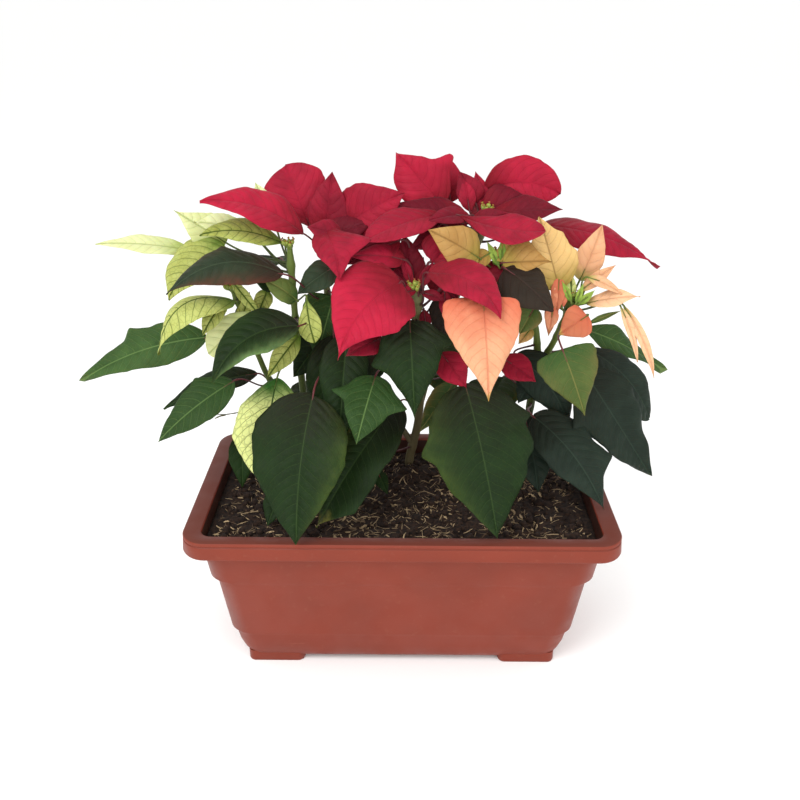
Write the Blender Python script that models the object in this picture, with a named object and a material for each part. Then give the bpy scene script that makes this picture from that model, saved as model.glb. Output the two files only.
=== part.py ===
"""Three poinsettia plants growing in one rectangular planter, modelled at real size.

World axes: X runs along the planter to the right, Y away from the front, Z up.
Places are in millimetres from the point on the ground under the middle of the planter.
When a mesh is built they become metres, and move by PLANTER_CENTRE, so that the world
origin lies on the ground under the middle of the whole object, foliage included.
"""

import math
from typing import NamedTuple

import bpy
import bmesh
from mathutils import Vector

MM = 0.001
PLANTER_CENTRE = Vector((22.5, -2.0, 0.0))

# Planter: outer rim 400 x 214, 167 high, in walls 3 thick
RIM_LENGTH = 400.0
RIM_WIDTH = 214.0
RIM_HEIGHT = 167.0
WALL = 3.0
FLOOR_HEIGHT = 6.0
LIP_HEIGHT = 149.0
RIM_BAND = 17.0
CORNER_SEGMENTS = 5
MIN_RADIUS = 6.0
FLOOR_FILLET = 1.0
SHARP_ANGLE = math.radians(40)

# Feet: one under each corner, with a rounded outline
FOOT_LENGTH = 52.0
FOOT_WIDTH = 34.0
FOOT_CENTRE_X = 124.0
FOOT_CENTRE_Y = 49.0
FOOT_RADIUS = 7.0
FOOT_EDGE = 1.5
FOOT_SINK = 1.5

# Soil: a block that fills the planter to 17 below the rim
SOIL_HEIGHT = 150.0
CLEARANCE = 0.35
SOIL_EDGE = 0.4

# Stems
STEM_SIDES = 8
PATH_STEP = 14.0
STALK_GAP = 0.35

# Blades
BLADE_THICKNESS = 0.7
STALK_RADIUS = 1.1
COLUMNS = (-1.0, 0.0, 1.0)
STALK_STEPS = (0.0, 0.3, 0.7)

# Flower bud clusters
BUD_LOBES = 5
BUD_RING_POINTS = 20


class BudLevel(NamedTuple):
    """One level of a bud cluster: its rise above the stem's tip, its radius and how lobed it is."""

    rise: float
    radius: float
    lobing: float


BUD_PROFILE = (
    BudLevel(STALK_GAP, 2.2, 0.0),
    BudLevel(2.5, 4.2, 0.25),
    BudLevel(6.5, 5.6, 0.3),
    BudLevel(9.5, 4.2, 0.3),
    BudLevel(11.0, 1.5, 0.1),
)


class Finish(NamedTuple):
    """Plain look of one material."""

    colour: tuple
    roughness: float
    metallic: float = 0.0


FINISHES = {
    "terracotta_plastic": Finish((0.33, 0.085, 0.052), 0.45),
    "soil": Finish((0.024, 0.011, 0.007), 0.95),
    "red_bract": Finish((0.50, 0.018, 0.042), 0.55),
    "cream_bract": Finish((0.68, 0.70, 0.25), 0.55),
    "peach_bract": Finish((0.86, 0.38, 0.22), 0.55),
    "green_leaf": Finish((0.030, 0.075, 0.028), 0.50),
    "bronze_leaf": Finish((0.045, 0.030, 0.025), 0.50),
    "green_stem": Finish((0.10, 0.14, 0.030), 0.55),
    "brown_stem": Finish((0.12, 0.055, 0.030), 0.60),
    "flower_bud": Finish((0.30, 0.38, 0.06), 0.50),
}


class Outline(NamedTuple):
    """Half width of a blade, as a share of its widest half, at shares of its length."""

    stations: tuple
    half_widths: tuple


OVATE = Outline(
    (0.0, 0.07, 0.18, 0.32, 0.48, 0.64, 0.79, 0.91, 1.0),
    (0.10, 0.50, 0.84, 1.0, 0.97, 0.78, 0.47, 0.19, 0.03),
)
LOBED = Outline(
    (0.0, 0.08, 0.22, 0.38, 0.45, 0.58, 0.74, 0.89, 1.0),
    (0.10, 0.46, 0.78, 1.0, 0.80, 0.72, 0.50, 0.20, 0.03),
)
LANCE = Outline(
    (0.0, 0.10, 0.25, 0.42, 0.58, 0.74, 0.89, 1.0),
    (0.12, 0.50, 0.86, 1.0, 0.90, 0.62, 0.26, 0.03),
)


class Stem(NamedTuple):
    """Centre line of a stem from the bottom up, with its radius at both ends."""

    points: tuple
    bottom_radius: float
    top_radius: float


STEMS = {
    "red_front": Stem(
        (
            (7, 60, 125),
            (7, 60, 160),
            (15, 55, 204),
            (17, 45, 243),
            (17, 25, 300),
            (12, 5, 340),
            (10, -5, 369),
        ),
        5.0,
        2.8,
    ),
    "red_left": Stem(((10, 58, 180), (-35, 57, 255), (-70, 45, 335), (-72, 35, 408)), 3.2, 2.6),
    "red_right": Stem(((16, 50, 225), (36, 62, 300), (62, 60, 370), (75, 50, 425)), 3.4, 2.6),
    "cream_main": Stem(
        ((-95, 55, 125), (-95, 55, 160), (-100, 45, 242), (-102, 30, 317), (-103, 20, 400)),
        4.4,
        2.6,
    ),
    "cream_side": Stem(
        ((-98, 50, 212), (-128, 38, 255), (-139, 25, 293), (-146, 15, 330), (-156, 15, 361)),
        3.0,
        2.4,
    ),
    "peach_main": Stem(
        ((125, 55, 125), (125, 55, 160), (131, 55, 244), (131, 45, 289), (120, 35, 335), (83, 20, 392)),
        4.6,
        2.6,
    ),
    "peach_side": Stem(((131, 50, 268), (143, 38, 300), (148, 29, 322), (156, 20, 353)), 3.2, 2.6),
}

# Which stems grow together as one plant, trunk first
PLANTS = {
    "red_plant_stem": ("red_front", ("red_left", "red_right"), "brown_stem"),
    "cream_plant_stem": ("cream_main", ("cream_side",), "green_stem"),
    "peach_plant_stem": ("peach_main", ("peach_side",), "green_stem"),
}


class Blade(NamedTuple):
    """One leaf or bract.

    stem and height say where its stalk leaves the plant, base and tip are the ends of its
    midrib, facing is the way its upper side looks, arch lifts the midrib between its ends,
    cup turns its margins up (or down when negative) in degrees, and skew slides the right
    margin towards the tip (or the base when negative) as a share of the half width.
    """

    name: str
    stem: str
    height: float
    base: tuple
    tip: tuple
    facing: tuple
    width: float
    arch: float
    outline: Outline
    cup: float = 8.0
    skew: float = 0.0


CREAM_BRACTS = (
    Blade(
        "cream_bract_top", "cream_main", 390, (-109, 22, 403), (-175, -12, 419),
        (0, -5, 10), 32, 4, LANCE,
    ),
    Blade(
        "cream_bract_fan", "cream_main", 376, (-160, 28, 393), (-210, -5, 358),
        (-5, -10, 10), 48, 6, OVATE,
    ),
    Blade(
        "cream_bract_upright", "cream_main", 384, (-165, 45, 397), (-210, 44, 427),
        (0, -10, 5), 30, 3, LANCE,
    ),
    Blade(
        "cream_bract_far_left", "cream_main", 368, (-200, 55, 386), (-277, 20, 402),
        (0, -5, 10), 26, 4, LANCE,
    ),
    Blade(
        "cream_bract_arched", "cream_side", 353, (-152, 2, 355), (-216, -36, 318),
        (-4, -6, 10), 32, 30, LANCE, -20,
    ),
    Blade(
        "cream_bract_cupped", "cream_side", 336, (-128, -2, 350), (-177, -14, 310),
        (-2, -10, 7), 36, 4, OVATE, 10,
    ),
    Blade(
        "cream_bract_hanging", "cream_main", 328, (-96, 5, 322), (-124, -22, 290),
        (0, -10, 6), 22, 4, LANCE,
    ),
    Blade(
        "cream_leaf_variegated", "cream_main", 300, (-115, -20, 290), (-125, -75, 215),
        (-2, -10, 8), 70, 8, OVATE,
    ),
)
GREEN_LEAVES = (
    Blade(
        "leaf_left_shoulder", "cream_main", 330, (-92, -22, 341), (-162, -70, 308),
        (-3, -8, 9), 52, 8, OVATE,
    ),
    Blade(
        "leaf_left_low", "cream_side", 262, (-160, 5, 275), (-230, -25, 225),
        (-3, -10, 8), 45, 8, LOBED,
    ),
    Blade(
        "leaf_left_dark", "cream_side", 248, (-145, 45, 265), (-235, 20, 237),
        (-3, -6, 10), 36, 10, LANCE,
    ),
    Blade(
        "leaf_far_left", "cream_side", 300, (-190, 40, 305), (-315, 30, 262),
        (-3, -10, 6), 44, 7, LOBED,
    ),
    Blade(
        "leaf_front_left", "red_left", 290, (-80, -45, 285), (-92, -115, 174),
        (0, -10, 8), 86, 9, OVATE,
    ),
    Blade("leaf_centre_left", "red_left", 330, (-52, 0, 325), (-57, -52, 245), (0, -10, 6), 38, 7, OVATE),
    Blade(
        "leaf_front_inner", "red_front", 235, (-5, 0, 255), (-78, -84, 170),
        (-3, -10, 10), 64, 10, OVATE,
    ),
    Blade(
        "leaf_centre_small", "red_front", 285, (-25, -30, 297), (-40, -85, 257),
        (0, -10, 10), 52, 5, LOBED,
    ),
    Blade(
        "leaf_centre_lobed", "red_front", 340, (5, -30, 350), (10, -75, 275),
        (0, -10, 7), 78, 8, LOBED, 8, -0.3,
    ),
    Blade(
        "leaf_front_right", "red_front", 272, (55, -35, 292), (84, -104, 174),
        (2, -10, 8), 102, 9, LOBED,
    ),
    Blade(
        "leaf_right_upper", "peach_side", 292, (180, 48, 293), (248, 38, 221),
        (5, -10, 8), 54, 10, OVATE,
    ),
    Blade(
        "leaf_right_lower", "peach_main", 262, (172, 22, 282), (246, 5, 175),
        (3, -10, 6), 58, 8, LOBED,
    ),
    Blade(
        "leaf_right_inner", "peach_main", 300, (107, 30, 293), (162, 15, 224),
        (-3, -10, 5), 42, 6, OVATE,
    ),
    Blade(
        "leaf_right_narrow", "peach_side", 312, (180, 70, 305), (270, 80, 255),
        (2, -5, 10), 30, 6, LANCE,
    ),
    Blade(
        "leaf_corner_dark", "peach_main", 232, (125, 5, 240), (186, -62, 178),
        (2, -10, 10), 66, 8, LOBED,
    ),
    Blade(
        "leaf_soil_left", "cream_main", 205, (-160, 30, 210), (-160, 0, 160),
        (0, -10, 5), 22, 3, LANCE,
    ),
    Blade("leaf_olive", "peach_side", 325, (140, -31, 324), (160, -57, 272), (0, -10, 5), 46, 4, OVATE),
    Blade("leaf_back_left", "cream_main", 232, (-88, 82, 240), (-94, 116, 174), (0, 10, 5), 62, 6, OVATE),
    Blade("leaf_back_right", "peach_main", 240, (104, 84, 246), (92, 117, 176), (0, 10, 5), 62, 6, OVATE),
    Blade("leaf_back_centre", "red_right", 276, (40, 88, 284), (44, 118, 206), (0, 10, 5), 66, 6, LOBED),
)
BRONZE_LEAVES = (
    Blade(
        "leaf_bronze_left", "red_left", 348, (-106, -8, 384), (-200, -45, 377),
        (0, -8, 10), 42, 14, OVATE, -14,
    ),
    Blade(
        "leaf_bronze_right", "peach_main", 372, (88, -5, 390), (128, -36, 361),
        (3, -10, 9), 48, 4, OVATE, -10,
    ),
)
RED_BRACTS = (
    Blade(
        "red_bract_left_wing", "red_left", 398, (-90, 22, 412), (-175, 0, 445),
        (0, -7, 10), 40, 6, LANCE,
    ),
    Blade(
        "red_bract_left_upright", "red_left", 402, (-86, 52, 408), (-111, 76, 462),
        (0, -10, 3), 60, 4, OVATE,
    ),
    Blade(
        "red_bract_left_inner", "red_left", 395, (-60, 48, 410), (0, 46, 444),
        (0, -10, 6), 42, 6, LANCE,
    ),
    Blade(
        "red_bract_left_lobed", "red_left", 392, (-72, 20, 417), (-55, -30, 386),
        (0, -8, 10), 62, 4, LOBED,
    ),
    Blade(
        "red_bract_top_pointed", "red_right", 418, (35, 56, 430), (-8, 72, 475),
        (0, -10, 2), 48, 5, OVATE,
    ),
    Blade(
        "red_bract_top_round", "red_right", 416, (72, 66, 440), (143, 62, 440),
        (0, -10, 2), 58, 5, OVATE,
    ),
    Blade(
        "red_bract_top_front", "red_right", 408, (48, 30, 428), (122, 0, 422),
        (0, -7, 10), 36, -2, LANCE,
    ),
    Blade(
        "red_bract_top_left", "red_right", 403, (35, 38, 426), (-35, 2, 411),
        (-2, -6, 10), 42, 6, LANCE,
    ),
    Blade(
        "red_bract_front_large", "red_front", 362, (-3, -15, 380), (-55, -73, 330),
        (-1, -10, 10), 74, 7, OVATE,
    ),
    Blade(
        "red_bract_front_right", "red_front", 356, (20, -20, 390), (80, -65, 365),
        (0, -6, 10), 40, 6, OVATE,
    ),
    Blade(
        "red_bract_right_wing", "red_right", 396, (130, 66, 410), (240, 50, 375),
        (0, -5, 10), 42, 8, LANCE, -8,
    ),
    Blade(
        "red_bract_back_right", "red_right", 412, (84, 74, 424), (96, 119, 396),
        (0, 4, 10), 58, 6, OVATE,
    ),
    Blade(
        "red_bract_back_left", "red_left", 398, (-66, 62, 408), (-48, 116, 388),
        (0, 4, 10), 56, 6, OVATE,
    ),
)
PEACH_BRACTS = (
    Blade(
        "peach_bract_upright", "peach_side", 345, (141, 15, 364), (118, 18, 430),
        (0, -10, 2), 38, 4, OVATE,
    ),
    Blade(
        "peach_bract_back", "peach_side", 342, (162, 30, 368), (180, 40, 418),
        (0, -10, 2), 34, 4, OVATE,
    ),
    Blade(
        "peach_bract_narrow", "peach_side", 349, (166, 12, 352), (210, -5, 365),
        (0, -7, 10), 18, 3, LANCE,
    ),
    Blade("peach_bract_tan", "peach_main", 384, (66, 4, 396), (20, -15, 426), (0, -10, 5), 36, 4, OVATE),
    Blade(
        "peach_bract_front_large", "peach_main", 378, (67, -40, 374), (71, -90, 301),
        (0, -10, 6), 64, 7, OVATE,
    ),
)

BLADES = {
    "cream_bract": CREAM_BRACTS,
    "green_leaf": GREEN_LEAVES,
    "bronze_leaf": BRONZE_LEAVES,
    "red_bract": RED_BRACTS,
    "peach_bract": PEACH_BRACTS,
}


def clear_scene():
    """Remove every object that the file starts with."""
    for obj in list(bpy.data.objects):
        bpy.data.objects.remove(obj, do_unlink=True)


def material(name):
    """Return the Principled material of one finish, made once."""
    if name in bpy.data.materials:
        return bpy.data.materials[name]
    finish = FINISHES[name]
    made = bpy.data.materials.new(name)
    made.use_nodes = True
    shader = made.node_tree.nodes["Principled BSDF"]
    shader.inputs["Base Color"].default_value = (*finish.colour, 1.0)
    shader.inputs["Roughness"].default_value = finish.roughness
    shader.inputs["Metallic"].default_value = finish.metallic
    made.diffuse_color = (*finish.colour, 1.0)
    return made


def add_object(name, mesh, finish):
    """Put a mesh in the scene as a named object with its finish."""
    mesh.materials.append(material(finish))
    obj = bpy.data.objects.new(name, mesh)
    bpy.context.collection.objects.link(obj)
    return obj


def loft(name, rings):
    """Build a closed solid through rings of equally many points, capped at both ends."""
    bm = bmesh.new()
    rows = [[bm.verts.new((Vector(point) + PLANTER_CENTRE) * MM) for point in ring] for ring in rings]
    count = len(rows[0])
    for lower, upper in zip(rows, rows[1:]):
        for i in range(count):
            j = (i + 1) % count
            bm.faces.new((lower[i], lower[j], upper[j], upper[i]))
    bm.faces.new(list(reversed(rows[0])))
    bm.faces.new(rows[-1])
    bmesh.ops.recalc_face_normals(bm, faces=bm.faces[:])
    mesh = bpy.data.meshes.new(name)
    bm.to_mesh(mesh)
    bm.free()
    mesh.shade_smooth()
    mesh.set_sharp_from_angle(angle=SHARP_ANGLE)
    return mesh


def join_with(obj, helper, operation):
    """Add a Boolean modifier that uses a hidden helper object."""
    helper.hide_render = True
    helper.display_type = "WIRE"
    modifier = obj.modifiers.new(operation.lower(), "BOOLEAN")
    modifier.operation = operation
    modifier.object = helper


def rounded_rectangle(half_length, half_width, radius, height, centre=(0.0, 0.0)):
    """Return the points of a level rounded rectangle, counter-clockwise from above."""
    points = []
    for quarter, (sx, sy) in enumerate(((1, 1), (-1, 1), (-1, -1), (1, -1))):
        cx = centre[0] + sx * (half_length - radius)
        cy = centre[1] + sy * (half_width - radius)
        for step in range(CORNER_SEGMENTS + 1):
            angle = math.radians(90.0 * (quarter + step / CORNER_SEGMENTS))
            points.append((cx + radius * math.cos(angle), cy + radius * math.sin(angle), height))
    return points


class Level(NamedTuple):
    """One level of the planter's wall: insets from the rim at the ends and at the sides."""

    end_inset: float
    side_inset: float
    radius: float
    height: float


# Outer face of the wall from the floor up: a rounded foot, two steps at the ends, then up to the rim
WALL_LEVELS = (
    Level(50.0, 42.0, 16.0, FLOOR_HEIGHT),
    Level(46.5, 39.0, 18.0, 8.5),
    Level(43.0, 36.0, 20.0, 14.0),
    Level(38.0, 33.0, 21.0, 24.0),
    Level(35.2, 30.0, 21.0, 40.5),
    Level(31.2, 28.5, 21.0, 46.0),
    Level(24.4, 19.5, 21.0, 104.5),
    Level(18.6, 18.0, 21.0, 110.0),
    Level(15.2, 11.0, 21.0, LIP_HEIGHT),
)
# The rim above it: under the band, down inside the lip, round the lip, groove, bead and top
RIM_LEVELS = (
    Level(14.5, 10.0, 21.0, 163.0),
    Level(3.6, 3.6, 21.0, 163.0),
    Level(2.8, 2.8, 22.0, LIP_HEIGHT + 0.6),
    Level(0.9, 0.9, 23.0, LIP_HEIGHT),
    Level(0.0, 0.0, 24.0, LIP_HEIGHT + 2.0),
    Level(1.0, 1.0, 23.0, 162.2),
    Level(2.2, 2.2, 22.0, 162.8),
    Level(1.2, 1.2, 23.0, 163.8),
    Level(1.2, 1.2, 23.0, 165.8),
    Level(2.6, 2.6, 22.0, RIM_HEIGHT),
    Level(RIM_BAND - 1.0, 12.5, 12.0, RIM_HEIGHT),
    Level(RIM_BAND + 1.0, 13.8, 10.0, RIM_HEIGHT - 2.0),
)


def level_ring(level, extra=0.0, lift=0.0):
    """Return the ring of one level, moved in by extra and up by lift."""
    return rounded_rectangle(
        RIM_LENGTH / 2 - level.end_inset - extra,
        RIM_WIDTH / 2 - level.side_inset - extra,
        max(level.radius - extra, MIN_RADIUS),
        level.height + lift,
    )


def make_planter():
    """Build the planter shell with its rim, and join the four feet to it."""
    rings = [level_ring(level) for level in WALL_LEVELS]
    rings += [level_ring(level) for level in RIM_LEVELS]
    rings += [level_ring(level, WALL) for level in reversed(WALL_LEVELS[1:])]
    rings.append(level_ring(WALL_LEVELS[0], WALL + FLOOR_FILLET, WALL))
    planter = add_object("planter", loft("planter", rings), "terracotta_plastic")
    for side in (-1, 1):
        for front in (-1, 1):
            foot = make_foot((side * FOOT_CENTRE_X, front * FOOT_CENTRE_Y))
            join_with(planter, foot, "UNION")


def make_foot(centre):
    """Build one foot, rounded in plan, that reaches into the floor."""
    rings = []
    for inset, height in ((FOOT_EDGE, 0.0), (0.0, FOOT_EDGE), (0.0, FLOOR_HEIGHT + FOOT_SINK)):
        rings.append(
            rounded_rectangle(
                FOOT_LENGTH / 2 - inset, FOOT_WIDTH / 2 - inset, FOOT_RADIUS - inset, height, centre
            )
        )
    return add_object("foot_helper", loft("foot_helper", rings), "terracotta_plastic")


def make_soil():
    """Build the block of soil and cut a hole for each stem."""
    rings = [level_ring(WALL_LEVELS[0], WALL + FLOOR_FILLET + CLEARANCE, WALL + CLEARANCE)]
    for level in WALL_LEVELS[1:-1]:
        rings.append(level_ring(level, WALL + CLEARANCE, CLEARANCE))
    rings.append(level_ring(WALL_LEVELS[-1], WALL + CLEARANCE + SOIL_EDGE, SOIL_HEIGHT - LIP_HEIGHT))
    soil = add_object("potting_soil", loft("potting_soil", rings), "soil")
    for trunk, _, _ in PLANTS.values():
        stem = STEMS[trunk]
        wider = stem._replace(
            bottom_radius=stem.bottom_radius + CLEARANCE, top_radius=stem.top_radius + CLEARANCE
        )
        rings = stem_rings(wider)
        rings[0] = [point - Vector((0, 0, CLEARANCE)) for point in rings[0]]
        cutter = add_object("socket_helper", loft("socket_helper", rings), "soil")
        join_with(soil, cutter, "DIFFERENCE")


def circle(centre, across, up, radius, sides=STEM_SIDES):
    """Return points on a circle in the plane of two unit vectors."""
    points = []
    for i in range(sides):
        angle = 2.0 * math.pi * i / sides
        points.append(Vector(centre) + radius * (math.cos(angle) * across + math.sin(angle) * up))
    return points


def smooth_path(points):
    """Return points read from a Catmull-Rom curve through the given ones."""
    knots = [Vector(point) for point in points]
    knots = [2 * knots[0] - knots[1], *knots, 2 * knots[-1] - knots[-2]]
    path = []
    for a, b, c, d in zip(knots, knots[1:], knots[2:], knots[3:]):
        steps = max(1, round((c - b).length / PATH_STEP))
        for step in range(steps):
            t = step / steps
            bend = 2 * a - 5 * b + 4 * c - d
            twist = 3 * b - a - 3 * c + d
            path.append(0.5 * (2 * b + (c - a) * t + bend * t**2 + twist * t**3))
    path.append(knots[-2])
    return path


def tangents(path):
    """Return the unit direction of a path at each of its points."""
    ends = [path[0], *path, path[-1]]
    return [(after - before).normalized() for before, after in zip(ends, ends[2:])]


def carried_across(directions, across):
    """Carry a sideways vector along a path so that it turns as little as possible."""
    carried = []
    for direction in directions:
        across = (across - across.dot(direction) * direction).normalized()
        carried.append(across)
    return carried


def stem_rings(stem):
    """Return the rings of a tapering stem."""
    path = smooth_path(stem.points)
    directions = tangents(path)
    sides = carried_across(directions, Vector((1, 0, 0)))
    rings = []
    for i, (point, direction, across) in enumerate(zip(path, directions, sides)):
        share = i / (len(path) - 1)
        radius = stem.bottom_radius + share * (stem.top_radius - stem.bottom_radius)
        rings.append(circle(point, across, direction.cross(across), radius))
    return rings


def make_plant_stem(name, trunk, branches, finish):
    """Build a plant's trunk and join its branches to it."""
    plant = add_object(name, loft(name, stem_rings(STEMS[trunk])), finish)
    for branch in branches:
        helper = add_object(f"{branch}_helper", loft(branch, stem_rings(STEMS[branch])), finish)
        join_with(plant, helper, "UNION")


def make_flower(name, stem):
    """Build a lobed cluster of flower buds that sits on a stem's tip."""
    path = smooth_path(stem.points)
    up = tangents(path)[-1]
    across = carried_across([up], Vector((1, 0, 0)))[0]
    beside = up.cross(across)
    rings = []
    for level in BUD_PROFILE:
        centre = path[-1] + up * level.rise
        ring = []
        for i in range(BUD_RING_POINTS):
            angle = 2.0 * math.pi * i / BUD_RING_POINTS
            reach = level.radius * (1.0 + level.lobing * math.cos(BUD_LOBES * angle))
            ring.append(centre + reach * (math.cos(angle) * across + math.sin(angle) * beside))
        rings.append(ring)
    add_object(name, loft(name, rings), "flower_bud")


def stem_at(stem, height):
    """Return the centre, direction and radius of a stem at a height."""
    path = smooth_path(stem.points)
    directions = tangents(path)
    for i, (low, high) in enumerate(zip(path, path[1:])):
        if low.z <= height <= high.z:
            share = (height - low.z) / (high.z - low.z)
            along = (i + share) / (len(path) - 1)
            radius = stem.bottom_radius + along * (stem.top_radius - stem.bottom_radius)
            return low.lerp(high, share), directions[i].lerp(directions[i + 1], share).normalized(), radius
    raise ValueError("no stem at this height")


def blade_ring(centre, across, normal, half_width, blade):
    """Return one ring of a blade: its upper side across, then its lower side back."""
    thickness = BLADE_THICKNESS / 2
    along = normal.cross(across)
    rise = math.tan(math.radians(blade.cup))
    upper = []
    lower = []
    for column in COLUMNS:
        reach = column * half_width
        spot = centre + reach * across + blade.skew * reach * along + rise * abs(reach) * normal
        upper.append(spot + thickness * normal)
        lower.append(spot - thickness * normal)
    return upper + list(reversed(lower))


def stalk_ring(centre, across, normal, radius):
    """Return one round ring of a stalk, with its points in a blade ring's order."""
    count = 2 * len(COLUMNS)
    points = []
    for i in range(count):
        angle = math.pi * (1.0 - 0.5 / len(COLUMNS)) - 2.0 * math.pi * i / count
        points.append(centre + radius * (math.cos(angle) * across + math.sin(angle) * normal))
    return points


def cubic(a, b, c, d, t):
    """Return a point on the cubic curve with four control points."""
    s = 1.0 - t
    return s**3 * a + 3 * s**2 * t * b + 3 * s * t**2 * c + t**3 * d


def make_blade(blade, finish):
    """Build one leaf or bract with its stalk as a thin closed solid."""
    base = Vector(blade.base)
    tip = Vector(blade.tip)
    chord = (tip - base).normalized()
    across = chord.cross(Vector(blade.facing)).normalized()
    middle = (base + tip) / 2 + 2.0 * blade.arch * across.cross(chord)

    rings = []
    start = (middle - base).normalized()
    spot, stem_direction, radius = stem_at(STEMS[blade.stem], blade.height)
    out = base - spot
    out = (out - out.dot(stem_direction) * stem_direction).normalized()
    foot = spot + (radius + STALK_GAP) * out
    reach = (base - foot).length / 3
    controls = (foot, foot + reach * out, base - reach * start, base)
    stalk = [cubic(*controls, step) for step in STALK_STEPS]
    directions = tangents([*stalk, base])[:-1]
    directions[0] = out
    sides = list(reversed(carried_across(reversed(directions), across)))
    for point, direction, side in zip(stalk, directions, sides):
        rings.append(stalk_ring(point, side, side.cross(direction), STALK_RADIUS))

    half = blade.width / 2
    for station, share in zip(blade.outline.stations, blade.outline.half_widths):
        point = (1 - station) ** 2 * base + 2 * station * (1 - station) * middle + station**2 * tip
        direction = ((1 - station) * (middle - base) + station * (tip - middle)).normalized()
        rings.append(blade_ring(point, across, across.cross(direction), half * share, blade))
    add_object(blade.name, loft(blade.name, rings), finish)


def main():
    """Build every piece."""
    clear_scene()
    make_planter()
    make_soil()
    for name, (trunk, branches, finish) in PLANTS.items():
        make_plant_stem(name, trunk, branches, finish)
    for name, stem in STEMS.items():
        make_flower(f"{name}_flower", stem)
    for finish, blades in BLADES.items():
        for blade in blades:
            make_blade(blade, finish)


main()
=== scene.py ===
"""Three poinsettias in a rectangular planter: the visible surfaces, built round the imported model.

Places are in millimetres from the ground under the middle of the planter, with X along the planter
to the right, Y away from its front and Z up. MeshParts.build and Studio.world turn them into metres.
"""

import logging
import math
from dataclasses import dataclass, field
from enum import Enum
from typing import ClassVar

import bpy
import numpy as np
from mathutils import Matrix, Vector


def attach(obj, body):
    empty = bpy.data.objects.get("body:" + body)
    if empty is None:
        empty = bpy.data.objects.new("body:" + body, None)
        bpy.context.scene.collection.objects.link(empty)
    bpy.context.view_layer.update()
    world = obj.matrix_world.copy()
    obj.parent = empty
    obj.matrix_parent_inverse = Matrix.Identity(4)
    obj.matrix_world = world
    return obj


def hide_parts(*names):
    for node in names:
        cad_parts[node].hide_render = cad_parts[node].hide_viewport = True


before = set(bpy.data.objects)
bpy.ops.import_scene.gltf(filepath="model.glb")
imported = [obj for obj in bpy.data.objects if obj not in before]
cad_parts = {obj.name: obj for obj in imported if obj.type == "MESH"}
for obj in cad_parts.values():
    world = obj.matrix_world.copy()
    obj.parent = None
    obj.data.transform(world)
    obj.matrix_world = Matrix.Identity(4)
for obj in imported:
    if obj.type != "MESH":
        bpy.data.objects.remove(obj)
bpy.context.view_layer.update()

Array = np.ndarray
Faces = list[tuple[int, ...]]
Material = bpy.types.Material
Socket = bpy.types.NodeSocket

LOG = logging.getLogger("poinsettia")
PLANTER_CENTRE = np.array((22.5, -2.0, 0.0))
MM = 0.001
BODY = "root"
FULL_TURN = 2 * math.pi
STEM_STEP_MM = 3.0
TISSUE_IOR = 1.42
TISSUE_RADII = (1.0, 0.6, 0.25)


def linear(code: str) -> tuple[float, float, float, float]:
    """Turn an sRGB hex colour into linear light.

    Args:
        code: Six hex digits, with or without a leading mark.

    Returns:
        Red, green, blue and a full alpha.
    """
    digits = code.lstrip("#")
    parts = [int(digits[i : i + 2], 16) / 255 for i in (0, 2, 4)]
    return (*(p / 12.92 if p <= 0.04045 else ((p + 0.055) / 1.055) ** 2.4 for p in parts), 1.0)


def add_node(
    tree: bpy.types.NodeTree, kind: str, links: dict | None = None, **settings: object
) -> bpy.types.Node:
    """Add a node, set its properties and fill its sockets.

    Args:
        tree: The node tree that gets the node.
        kind: The node's type name, without the ShaderNode prefix.
        links: Socket name or number to a value, or to another node's output.
        settings: Properties of the node.

    Returns:
        The new node.
    """
    node = tree.nodes.new(f"ShaderNode{kind}")
    for name, value in settings.items():
        setattr(node, name, value)
    for socket, value in (links or {}).items():
        if isinstance(value, Socket):
            tree.links.new(value, node.inputs[socket])
        else:
            node.inputs[socket].default_value = value
    return node


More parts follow.
